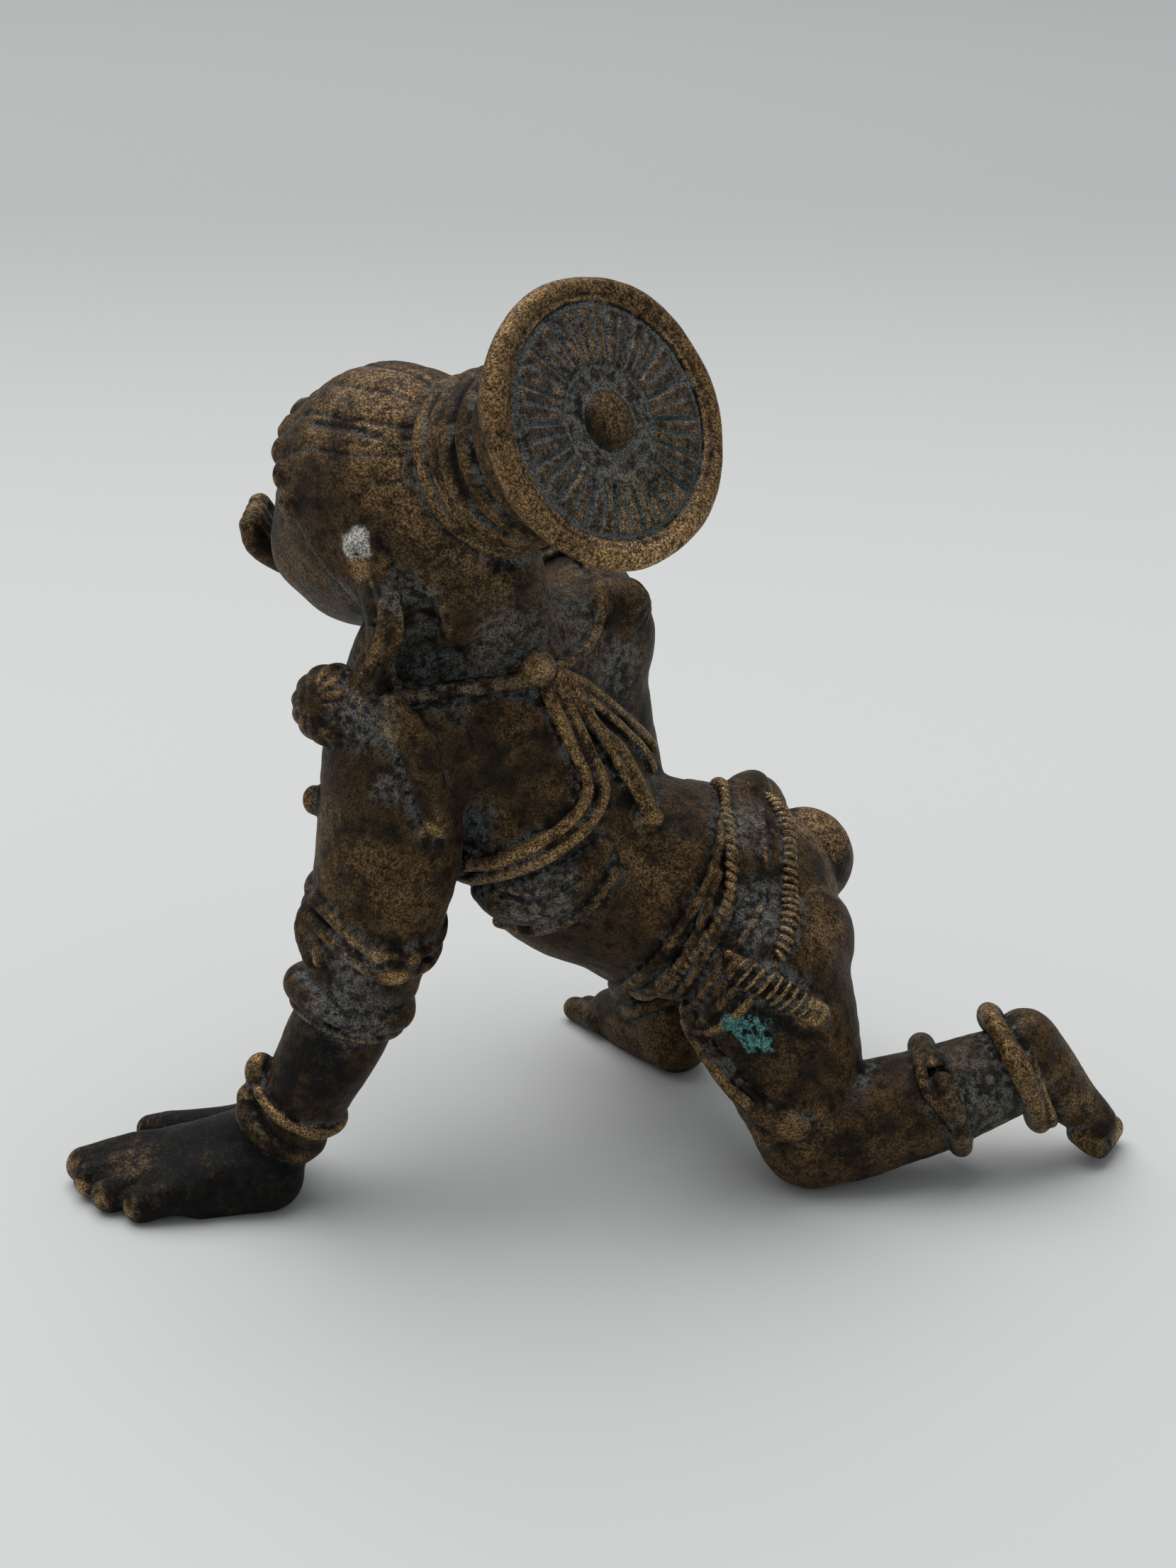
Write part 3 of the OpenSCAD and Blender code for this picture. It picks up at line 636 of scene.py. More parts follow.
UPPER = [(9, 2.9, 24.6), (9.2, -0.4, 22.1), (8.9, -1.6, 20), (7.7, -2.1, 18.3), (6.3, -1.8, 16.2),
         (4.4, 0.2, 13.1), (3.2, 3.5, 11.7), (3.5, 7.2, 11.8), (4.4, 11.1, 14.2), (5.8, 12.4, 20),
         (8.2, 10.6, 22.8), (8.9, 6.8, 25), (9, 2.9, 24.6)]
LOWER = [(12.3, 7, 24.3), (13.3, 3.4, 23.8), (13.4, 0.9, 22.3), (13.1, -1.8, 19.6), (12.4, -3.8, 17.8),
         (10.9, -4.6, 15.5), (9.1, -4, 13), (7.4, -1.6, 10.9), (6.6, 2.2, 10.8), (6.6, 5.6, 10.6),
         (7.2, 9.4, 11.4), (9.8, 14.8, 12.8), (11.6, 14.6, 20.4), (12, 11.2, 22.6), (12.3, 7, 24.3)]
BAND_STATIONS = 60        # round the hips
LOWER_LAG = 3             # stations by which the lower line starts late
BAND_HALF = (1.6, 2.7)    # least and greatest half width, mm
CLOTH = 0.28              # thickness, mm


def stations(line):
    """Evenly spread points round a closed line."""
    fine = even(spline(line, 8), 0.1)
    return fine[np.linspace(0, len(fine) - 1, BAND_STATIONS).astype(int)]


def cloth_band():
    """A flat band between the belt's two edges, raised off whatever is under it."""
    upper, lower = stations(UPPER), stations(LOWER)
    lower = np.roll(lower[:-1], -LOWER_LAG, axis=0)
    lower = np.vstack([lower, lower[:1]])
    half = np.linalg.norm(upper - lower, axis=1) / 2
    path, _ = settle((upper + lower) / 2)
    rows = np.hstack([path, np.clip(half, *BAND_HALF)[:, None]])
    atoms = []
    for a, b in zip(rows[:-1], rows[1:]):
        lo, hi, cone = cone_atom(a, b)

        def f(x, y, z, under, cone=cone):
            return smax(cone(x, y, z), under - CLOTH, 0.2)
        atoms.append((lo, hi, f))
    add(atoms, 0.15, "shell", 1.2)


piece("belt_band")
cloth_band()
piece("belt_upper_edge")
beads(UPPER, 0.6, 0.42, off=0.28)
laid(UPPER, 0.34, off=0.16)
piece("belt_lower_edge")
beads(LOWER[:5] + [(11.9, -3.9, 17.3)], 0.56, 0.5, off=0.34, lean=10)
beads(LOWER[9:], 0.56, 0.45, off=0.3, lean=10)
laid(LOWER, 0.34, off=0.16)
piece("belt_band")
for r, pts in ((0.34, [(8.7, 2.3, 24.4), (8.4, 0.4, 23.2), (7.8, -0.8, 21.8), (6.9, -1.8, 20.4),
                       (5.8, -2.2, 18.8),
                       (4.7, -2, 17), (3.2, -0.9, 14.8), (1.9, 2.3, 12.6), (2.2, 7.2, 12.4)]),
               (0.36, [(8.3, -0.7, 22), (7.6, -1.7, 20.1), (6.6, -2, 17.6), (5.3, -1.5, 15.5),
                       (3.9, 0.4, 13.4)]),
               (0.36, [(9.1, -1.6, 19.7), (8.3, -2.2, 17.7), (7, -1.8, 15.2), (5.6, -0.4, 12.8)]),
               (0.3, [(11.4, 4.3, 24.4), (11.5, 1.3, 23.2), (11.5, -0.7, 21.1), (10.6, -2.4, 18.9),
                      (9.2, -3.3, 17.1),
                      (7.6, -2.4, 14.1), (6.4, -0.6, 11.8)]),
               (0.34, [(10.5, -4, 16.7), (9.2, -3.8, 14.8), (7.7, -1.8, 11.8)])):
    laid(pts, r, 0.16, off=r * 0.5 + 0.15)

piece("belt_knot")
KNOT = [(9.9, -3.8, 16.7), (11.3, -4.3, 16), (12.6, -4.4, 15.2), (14, -4.4, 14.2), (14.7, -4.3, 13.7)]
laid(KNOT, 0.95, 0.12, off=0.15)
beads(KNOT, 0.62, 0.8, off=0.55, lean=12, close=False)
laid([(9.2, -3.2, 17.4), (10.6, -4, 17), (12, -4.2, 16.4)], 0.4, 0.15, off=0.3)
piece("front_sash")
laid([(6.8, -0.4, 12), (8, -2, 10.4), (9.1, -3, 9), (10.3, -4, 7.9), (11.5, -4.7, 6.9), (12.8, -5.2, 6.2)],
     0.85, 0.15, off=0.2)
laid([(7.6, -0.8, 11.8), (8.8, -2.6, 10), (9.8, -3.6, 8.9), (11, -4.6, 7.8)], 0.4, 0.15, off=0.9)
blob((13.2, -5.3, 5.9), (1.5, 0.9, 1), frame_of(V(1, -0.3, 0.2), V(0, 0, 1)), k=0.1)
blob((11.8, -4.4, 5), (1, 0.9, 1.1), k=0.35)

piece("chest_pendant")
limb([(-6.6, -0.9, 21, 1), (-5, -1.6, 20.9, 1.8), (-2.8, -2, 21.5, 2.1), (-0.6, -2.1, 23, 1.6),
      (0.8, -1.9, 24.6, 0.9)], 0.18, n=5)
limb([(-5.6, -3.1, 21.6, 0.22), (-3.2, -4.1, 21.6, 0.25), (-0.6, -3.7, 23, 0.2)], 0.25, kind="cut")
limb([(-5.8, -0.6, 18.6, 0.5), (-3.2, -1.9, 18.7, 0.55), (-0.2, -2.6, 20.4, 0.5),
      (1.6, -2.4, 22.8, 0.45)], 0.25, n=5)

piece("sacred_thread")
laid([(-2.5, -0.1, 35.4), (-1.7, -0.3, 33.8), (-0.5, -0.7, 31.4), (0.7, -1.1, 28.8), (0.6, -1.9, 27.2),
      (-1.1, -3, 25.5), (-3.7, -3.2, 24), (-5.5, -2.6, 23.1), (-7.6, -0.8, 22.1), (-9.6, 2.5, 22.7),
      (-9.8, 5.9, 24.5), (-8.2, 9, 27.1), (-5.4, 10.4, 30.7), (-4.2, 12.6, 33.2)], 0.52, 0.2)
laid([(-3, -0.5, 35.4), (-2.3, -1, 33.5), (-1.1, -1.4, 31.1), (-0.2, -1.6, 29), (-0.4, -2.3, 27.6),
      (-2, -3.1, 26.1), (-4.6, -3.1, 24.6), (-6.1, -2.5, 23.7), (-8.4, -0.6, 23.3), (-10, 2.5, 23.9)],
      0.5, 0.2)
piece("tassel")
laid([(-2.4, 0, 35.5), (-0.8, 1.3, 34.4), (1.5, 3.6, 31.7), (4, 7.2, 27.9)], 0.5, 0.22)
laid([(-2.4, -0.1, 35.4), (-1.1, 0.5, 34), (0.3, 0.5, 31.6), (1.8, 0.9, 29.9), (3, 0.5, 27.5),
      (4, 0.7, 25.3)], 0.52, 0.2, taper=1.4)
laid([(-2.3, 0, 35.2), (-0.7, 0.2, 33), (0.8, 0.4, 30.8), (2, 0.2, 28.8), (3.3, 0.3, 26.3)], 0.44, 0.2)
laid([(-2.4, 0, 35.4), (-0.6, 0.9, 33.8), (1.4, 2.6, 31.2), (3, 3.6, 28.6), (3.6, 3.6, 27.4)], 0.42, 0.22)
piece("nape_bead")
blob((-3.1, -1.2, 36.3), (1.1, 1.1, 1.15), k=0.03, margin=1.2)
piece("necklace")
NECK = [(-2.7, -0.2, 35.8), (-4.9, -1.3, 35.4), (-9.3, -2.5, 35.1), (-12.4, -3.4, 34.7),
        (-14.3, -2.4, 34.8),
        (-14.9, 0.2, 33.6), (-12.8, 3.4, 33.7), (-10.1, 6.6, 35), (-4, 10.5, 38.5), (-1, 10.9, 40),
        (0.7, 6.3, 38.2), (-0.7, 3.3, 35.9), (-2.7, -0.2, 35.8)]
laid(NECK[:6], 0.55, 0.2)
laid(NECK[5:], 0.36, 0.2)
piece("hair_lock")
laid([(-12.2, -4.4, 34), (-11.1, -5.4, 32.6), (-10.3, -5.9, 30.4), (-9.8, -5.9, 28.2)], 1.1, 0.02, off=0.75)
blob((-11.9, -5.3, 33.8), (1.15, 1, 0.9), k=0.2)

piece("left_earring")
fluted((-15.8, -3.2, 34.6), (-0.5, -0.8, 0.35), 2.65, 12, squash=0.95)
fluted((-13.6, -4.1, 34.2), (-0.1, -0.3, 0.95), 2.15, 13, k=0.25, squash=1.15)
limb([(-12.7, -2.9, 43.6, 0.75), (-12.1, -3.5, 41.8, 0.85), (-11.9, -3.9, 39.9, 0.95), (-13, -4.1, 38, 1),
      (-13.8, -4.1, 36, 1.2)], 0.2, n=4)
limb([(-12.4, -4.1, 41.6, 0.28), (-12.6, -4.8, 39.6, 0.3), (-13.6, -5.1, 37.2, 0.35)], 0.15, n=4)

limb([(-10.6, -3.9, 42, 0.7), (-10.2, -3.3, 39.8, 1.3), (-10.6, -2.9, 37.2, 1.3)], 0.5, n=4, kind="cut")
piece("right_earring")
fluted((2.5, 7.8, 37.5), (0.9, -0.3, 0.3), 1.9, 9, squash=0.85)
ring((2.2, 7.8, 37.4), (0.9, -0.3, 0.3), 1.75, 0.38, 0.12)
limb([(0.6, 6.6, 38, 1.4), (2, 7.4, 37.8, 1.5)], 0.8, n=2)

piece("left_armlet")
ARM = [(-18.2, -2, 21.2), (-17.2, -6.7, 20.9), (-15.2, -7.9, 19.6), (-13.3, -7.8, 18.4),
       (-11.4, -6.7, 17.9),
       (-10, -4.6, 17.8), (-9.8, -2, 18.4), (-11.5, 0.8, 19.4), (-14.6, 1.4, 20.6), (-18.2, -2, 21.2)]
laid(ARM, 0.5, 0.3, off=0.12)
laid([(x, y, z + 1.3) for x, y, z in ARM], 0.42, 0.3, off=0.08)
blob((-12.4, -7.5, 18.2), (1.3, 0.8, 0.8), k=0.2, margin=1.2)
blob((-13.2, -7.5, 19.4), (0.8, 0.6, 0.6), k=0.2, margin=1.2)
blob((-11.2, -6.9, 18.9), (0.7, 0.7, 0.7), k=0.2, margin=1.2)
limb([(-17.2, -4.6, 21.8, 0.8), (-17.5, -4.9, 20.2, 1.2), (-17.4, -5, 18.2, 0.95)], 0.25, n=3)
limb([(-17, -6.2, 20, 0.5), (-16.9, -6.5, 18.6, 0.55)], 0.15, n=3)
piece("left_upper_arm")
blob((-17.3, -2.6, 28), (0.8, 0.8, 1), k=0.3, margin=1.2)
piece("left_elbow_ring")
ring((-15.3, -3.8, 14.9), (0.27, 0.04, 1), 3.35, 1, 0.04, wobble=0.08)
ring((-15.6, -3.8, 13.7), (0.28, 0.04, 1), 3.45, 0.38, 0.06, wobble=0.12)
piece("left_bangle")
ring((-19, -3.7, 7), (0.44, -0.08, 0.9), 2.85, 0.5, 0.2, wobble=0.15)
blob((-21.5, -3.4, 8.9), (1.15, 1.1, 1.45), k=0.2, margin=1.2)
blob((-22.2, -3.8, 7.4), (1, 1, 0.95), k=0.25, margin=1.2)
piece("left_wrist_ring")
ring((-20.4, -3.5, 5.2), (0.5, -0.08, 0.86), 2.5, 0.75, 0.35, wobble=0.15)
piece("right_armlet")
ring((-1.8, 14, 36.5), (-0.4, 0.9, 0.17), 4, 0.7, 0.12, twist=24)
piece("right_bangle")
ring((-11.4, 16.6, 37.2), (-0.86, -0.5, 0.08), 2.7, 0.7, 0.12)
ring((-12.8, 15.7, 37.4), (-0.86, -0.5, 0.08), 2.45, 0.6, 0.12)
piece("left_calf_band")
ring((23.9, -0.5, 5.6), (0.93, 0.1, 0.36), 3.6, 0.8, 0.2, wobble=0.12)
laid([(22.1, -0.6, 9.1), (22.2, -3.2, 7.8), (23.4, -4.1, 6.4)], 0.45, 0.2)
blob((23.1, -2.6, 8.4), (0.75, 0.6, 0.6), k=0.3, kind="cut", margin=1)
piece("left_ankle_ring")
ring((28.8, 0.3, 7.3), SHIN, 3.1, 0.75, 0.2, oval=(unit(V(-0.43, 0, 0.9)), 1.28), wobble=0.1)
ring((29.9, 0.5, 6.9), unit(V(0.92, 0.08, 0.38)), 2.85, 0.4, 0.2, oval=(unit(V(-0.38, 0, 0.92)), 1.3))
piece("right_ankle_ring")
ring((5.2, 15.5, 6.7), (-0.35, 0.4, 0.85), 3.1, 0.75, 0.12, wobble=0.1)
ring((5.8, 14.9, 5.2), (-0.35, 0.4, 0.85), 2.9, 0.6, 0.12)

# ---------------------------------------------------------------- look: attributes

WHITE, GREEN, GOLD, BLACK = range(4)
SPOTS = [  # centre, radius and colour; gold is bare metal
    (V(-13.9, -3.3, 45.1), 1.15, WHITE), (V(10.7, -5, 12.4), 1.35, GREEN),
    (V(9.6, -4.2, 12.9), 1, GREEN), (V(36.8, 1.4, 1.4), 1.7, GOLD), (V(13.5, -5.6, 6.1), 1.3, GOLD),
    (V(14.6, -4.6, 13.8), 1.5, GOLD), (V(-3.3, -2, 36.6), 1.9, GOLD), (V(4, 0.5, 25.3), 1.3, GOLD),
    (V(-9.8, -7.4, 27.8), 1.2, GOLD), (V(-34.7, -2.8, 1.6), 1.1, GOLD), (V(-33.8, -5, 1), 1, GOLD),
    (V(-32, -6.6, 1.2), 1, GOLD), (V(-30.3, -8, 1.2), 0.9, GOLD), (V(-22.6, 12.2, 42.4), 1.5, GOLD),
    (V(-12.1, -8.4, 17.9), 1.1, GOLD), (V(-13.2, -8, 19.5), 0.9, GOLD),
    (V(-17.6, -6.6, 18.8), 0.8, GOLD), (V(-13.6, -3.2, 43.4), 1.2, GOLD),
    (V(-11.9, -6.2, 33.8), 1.1, GOLD), (V(-25.5, -3, 2), 7.5, BLACK),
    (V(-21, -3.6, 4), 4, BLACK), (V(-12.2, -2.6, 35.9), 2.6, BLACK),
    (V(-17.6, -6, 11.2), 4.2, BLACK), (V(-8.6, -3.4, 36.4), 2.4, BLACK),
    (V(2.2, -0.4, 27), 1.3, BLACK), (V(12.2, -5, 13.2), 1.7, BLACK),
    (V(10.9, -4.9, 12.2), 3, BLACK), (V(22.9, -2.6, 8.2), 1, BLACK), (V(16.8, 5.5, 19.6), 1.6, BLACK),
    (V(-11, -1.6, 51.2), 1.2, BLACK)]
DUST = [  # centre and radius of places where pale dust has settled
    (V(-3.4, -3.6, 21.6), 4.2), (V(-15, -7.5, 14.9), 4.2), (V(26.4, -2.6, 6.4), 4.2),
    (V(9.8, 2.3, 24.4), 3), (V(11.2, -1.8, 19.4), 3.4), (V(-4.6, -1.6, 38.2), 3.8),
    (V(-1.8, 3.8, 37.8), 4), (V(-13.6, -6, 34.2), 2.8), (V(-12.2, -6.8, 30.4), 1.5),
    (V(1.6, 5.5, 34), 3.4), (V(-9, -2, 35.6), 3.2), (V(-14.6, -7.2, 18.9), 2.6),
    (V(0.6, 6, 30), 2.6), (V(-7, -2.4, 26.5), 2.4), (V(-10.8, -3.6, 41.6), 2.4),
    (V(-15.2, -1.8, 41), 2.4)]
RUBBED_AND_PAINTED_LIGHT = [  # centre, radius and strength: above 0 rubbed by handling, and on the head also a painted highlight; below 0 painted shade
    # painted highlight: the entries on the head lighten its upper side
    (V(-12.5, 0, 53.4), 7.5, 0.55), (V(-9, -2.6, 48), 6, 0.45), (V(-6, -3, 44.4), 4.5, 0.4),
    (V(14.8, 7.4, 21.6), 5.2, 1), (V(15.2, -0.4, 18.2), 4.2, 0.45), (V(3.4, -1.6, 23.4), 4, 0.22),
    (V(14.6, -4.4, 5.4), 3, 0.3), (V(33.6, -0.6, 6.4), 3.2, 0.3), (V(-13.4, -7.2, 25.6), 3.8, 0.05),
    (V(-1.8, -4.2, 29.4), 3, 0.2), (V(-30, -4.6, 3.4), 2.6, 0.7),
    (DISC + 8 * unit(BUN * BUN[2] - V(0, 0, 1)), 6.5, 1), (DISC, 2.2, 0.6),
    # painted shade: the entries below 0 darken the forearm and wrist, the belly, the neck and chest under
    # the head, and the low legs
    (V(-17, -5.6, 11), 7.5, -1), (V(-19.6, -4.4, 6.4), 4.5, -0.5), (V(1, -3, 17), 6.5, -0.7),
    (V(-10, -3.6, 39.6), 4, -1), (V(-8, -4.4, 27), 3.6, -0.6),
    (V(-13.6, -7.6, 31), 3.2, -0.5), (V(20, -4.6, 4.4), 6, -0.45), (V(13, -5, 9.6), 3.4, -0.4)]


CURVE_REACH, NEAR_REACH, WIDE_REACH = 0.3, 0.6, 1.8     # how far the skin's hollows are probed, mm
RAGGED = (0.4, 0.8, 1, 1)         # how ragged the edge of each colour of spot is
SOLID = (0.8, 0.8, 0.2, 0.2)      # where each colour of spot starts to thin, as a part of its radius
COLLAR_R = 2.65                   # ring of dust round the disc's boss, mm


def attributes(pts, nrm, D, lo, h):
    """Three colour attributes: wear with crevices and painted shade, the coloured spots, and dust with
    rubbing in green, where the rubbing also paints a highlight on the head and shade where it is below 0.
    """
    mid = sample(D, lo, h, pts)
    around = sum(sample(D, lo, h, pts + e) for e in np.vstack([np.eye(3), -np.eye(3)]) * CURVE_REACH)
    lap = (around - 6 * mid) / (CURVE_REACH * CURVE_REACH)
    near = sample(D, lo, h, pts + nrm * NEAR_REACH) / NEAR_REACH
    wide = sample(D, lo, h, pts + nrm * WIDE_REACH) / WIDE_REACH
    ridge = step01(lap, 0.7, 2.6)
    # crevice marks concave and closely hidden skin, shade marks skin hidden further out; the material
    # paints both black as painted shade over the dark patina of the recesses, and settles dust there
    crevice = np.maximum(step01(-lap, 0.25, 1.8), 1 - step01(near, 0.35, 0.95))
    shade = 1 - step01(wide, 0.25, 0.95)
    down = step01(-nrm[:, 2], 0.0, 0.9)
    # the face gets less painted shade, black and dust in its creases, so that its features read
    shade_weight = 0.2 + 0.8 * step01(np.linalg.norm(pts - hp(8.0, 0, -1.5), axis=1), 4.0, 6.5)
    crevice, shade = crevice * shade_weight, shade * shade_weight
    spots = np.zeros((len(pts), 4))
    for i, (at, r, ch) in enumerate(SPOTS):
        ragged = (value_noise(pts, 0.5, i) * 0.35 + value_noise(pts, 1.1, i + 0.5) * 0.25) * RAGGED[ch]
        d = np.linalg.norm(pts - at, axis=1) / r + ragged
        spots[:, ch] = np.maximum(spots[:, ch], 1 - step01(d, SOLID[ch], 1.0))
    dust = np.zeros(len(pts))
    for i, (at, r) in enumerate(DUST):
        d = np.linalg.norm(pts - at, axis=1) + value_noise(pts, 1.3, i) * r * 0.25
        dust = np.maximum(dust, 1 - step01(d / r, 0.35, 1.0))
    rub_and_light = np.zeros(len(pts))
    for i, (at, r, much) in enumerate(RUBBED_AND_PAINTED_LIGHT):
        d = np.linalg.norm(pts - at, axis=1) + value_noise(pts, 1.6, i + 0.3) * r * 0.2
        rub_and_light = rub_and_light + much * (1 - step01(d / r, 0.3, 1.0))
    rel = pts - DISC
    along = rel @ BUN
    out = np.linalg.norm(rel - along[:, None] * BUN, axis=1)
    collar = (np.abs(along + 0.7) < 0.5) * (1 - step01(np.abs(out - COLLAR_R), 0.45, 1.0))
    dust = np.maximum(dust, collar)
    return {"masks": np.stack([ridge, crevice, shade, down], 1), "spots": spots,
            "dust": np.stack([dust, rub_and_light, dust, dust], 1)}


# ---------------------------------------------------------------- materials

class Nodes:
    """Short names for building a node tree."""

    def __init__(self, mat):
        self.nt = mat.node_tree
        self.co = self.nt.nodes.new("ShaderNodeTexCoord").outputs["Object"]

    def node(self, kind, **props):
        n = self.nt.nodes.new(kind)
        for k, v in props.items():
            setattr(n, k, v)
        return n

    def put(self, sock, v):
        if isinstance(v, bpy.types.NodeSocket):
            self.nt.links.new(v, sock)
        else:
            sock.default_value = v

    def noise(self, scale, detail=3.0, rough=0.55, distort=0.0):
        n = self.node("ShaderNodeTexNoise")
        self.put(n.inputs["Vector"], self.co)
        for k, v in (("Scale", scale), ("Detail", detail), ("Roughness", rough), ("Distortion", distort)):
            n.inputs[k].default_value = v
        return n.outputs["Fac"]

    def math(self, op, a, b, clamp):
        n = self.node("ShaderNodeMath", operation=op, use_clamp=clamp)
        self.put(n.inputs[0], a)
        self.put(n.inputs[1], b)
        return n.outputs[0]

    def mul(self, a, b, clamp=False):
        return self.math("MULTIPLY", a, b, clamp)

    def add(self, a, b, clamp=False):
        return self.math("ADD", a, b, clamp)

    def less(self, a, b, clamp=False):
        """a less b."""
        return self.math("SUBTRACT", a, b, clamp)

    def most(self, a, b, clamp=False):
        """The greater of a and b."""
        return self.math("MAXIMUM", a, b, clamp)

    def ramp(self, v, lo, hi, a=0.0, b=1.0):
        """Goes smoothly from a to b as v goes from lo to hi."""
        n = self.node("ShaderNodeMapRange", interpolation_type="SMOOTHSTEP")
        self.put(n.inputs["Value"], v)
        for k, x in (("From Min", lo), ("From Max", hi), ("To Min", a), ("To Max", b)):
            n.inputs[k].default_value = x
        return n.outputs["Result"]

    def mix(self, fac, a, b):
        n = self.node("ShaderNodeMix", data_type="RGBA")
        self.put(n.inputs[0], fac)
        self.put(n.inputs[6], a if isinstance(a, bpy.types.NodeSocket) else (*a, 1))
        self.put(n.inputs[7], b if isinstance(b, bpy.types.NodeSocket) else (*b, 1))
        return n.outputs[2]

    def scale(self, col, fac):
        n = self.node("ShaderNodeVectorMath", operation="SCALE")
        self.put(n.inputs[0], col)
        self.put(n.inputs["Scale"], fac)
        return n.outputs[0]

    def attribute(self, name):
        """The four channels of a colour attribute."""
        a = self.node("ShaderNodeAttribute", attribute_name=name)
        s = self.node("ShaderNodeSeparateColor")
        self.put(s.inputs[0], a.outputs["Color"])
        return s.outputs[0], s.outputs[1], s.outputs[2], a.outputs["Alpha"]


# noise lumps per metre, from grains of sand to drifts of patina
GRAIN, SAND, SPOT, CLOUD, DRIFT = 13000, 6000, 1700, 430, 150
# colours, linear
SOOT, BROWN = (0.014, 0.009, 0.005), (0.050, 0.029, 0.012)
SPECK, PIT, HOLLOW_SHADE = (0.006, 0.005, 0.003), (0.005, 0.004, 0.002), (0.006, 0.006, 0.006)
OCHRE, OCHRE_GOLD = (0.150, 0.086, 0.034), (0.08, 0.048, 0.020)      # the second is what gold adds
RUBBED_AND_LIT_SKIN, RUBBED_AND_LIT_GOLD = (0.36, 0.225, 0.105), (0.20, 0.12, 0.045)
DUST_GREY, DUST_BLUE = (0.140, 0.146, 0.142), (0.078, 0.112, 0.104)
STAIN, DARK_SKIN = (0.004, 0.004, 0.004), (0.0025, 0.0028, 0.0030)
METAL_LOW, METAL_HIGH = (0.14, 0.083, 0.036), (0.42, 0.270, 0.125)
GREEN_LOW, GREEN_HIGH = (0.012, 0.050, 0.046), (0.095, 0.250, 0.225)
WHITE_LOW, WHITE_HIGH = (0.20, 0.19, 0.16), (0.50, 0.49, 0.44)
BUMP_HEIGHT = 0.00013     # metres


def richer(colour, more, gold):
    """A colour with gold times more added."""
    return tuple(c + m * gold for c, m in zip(colour, more))


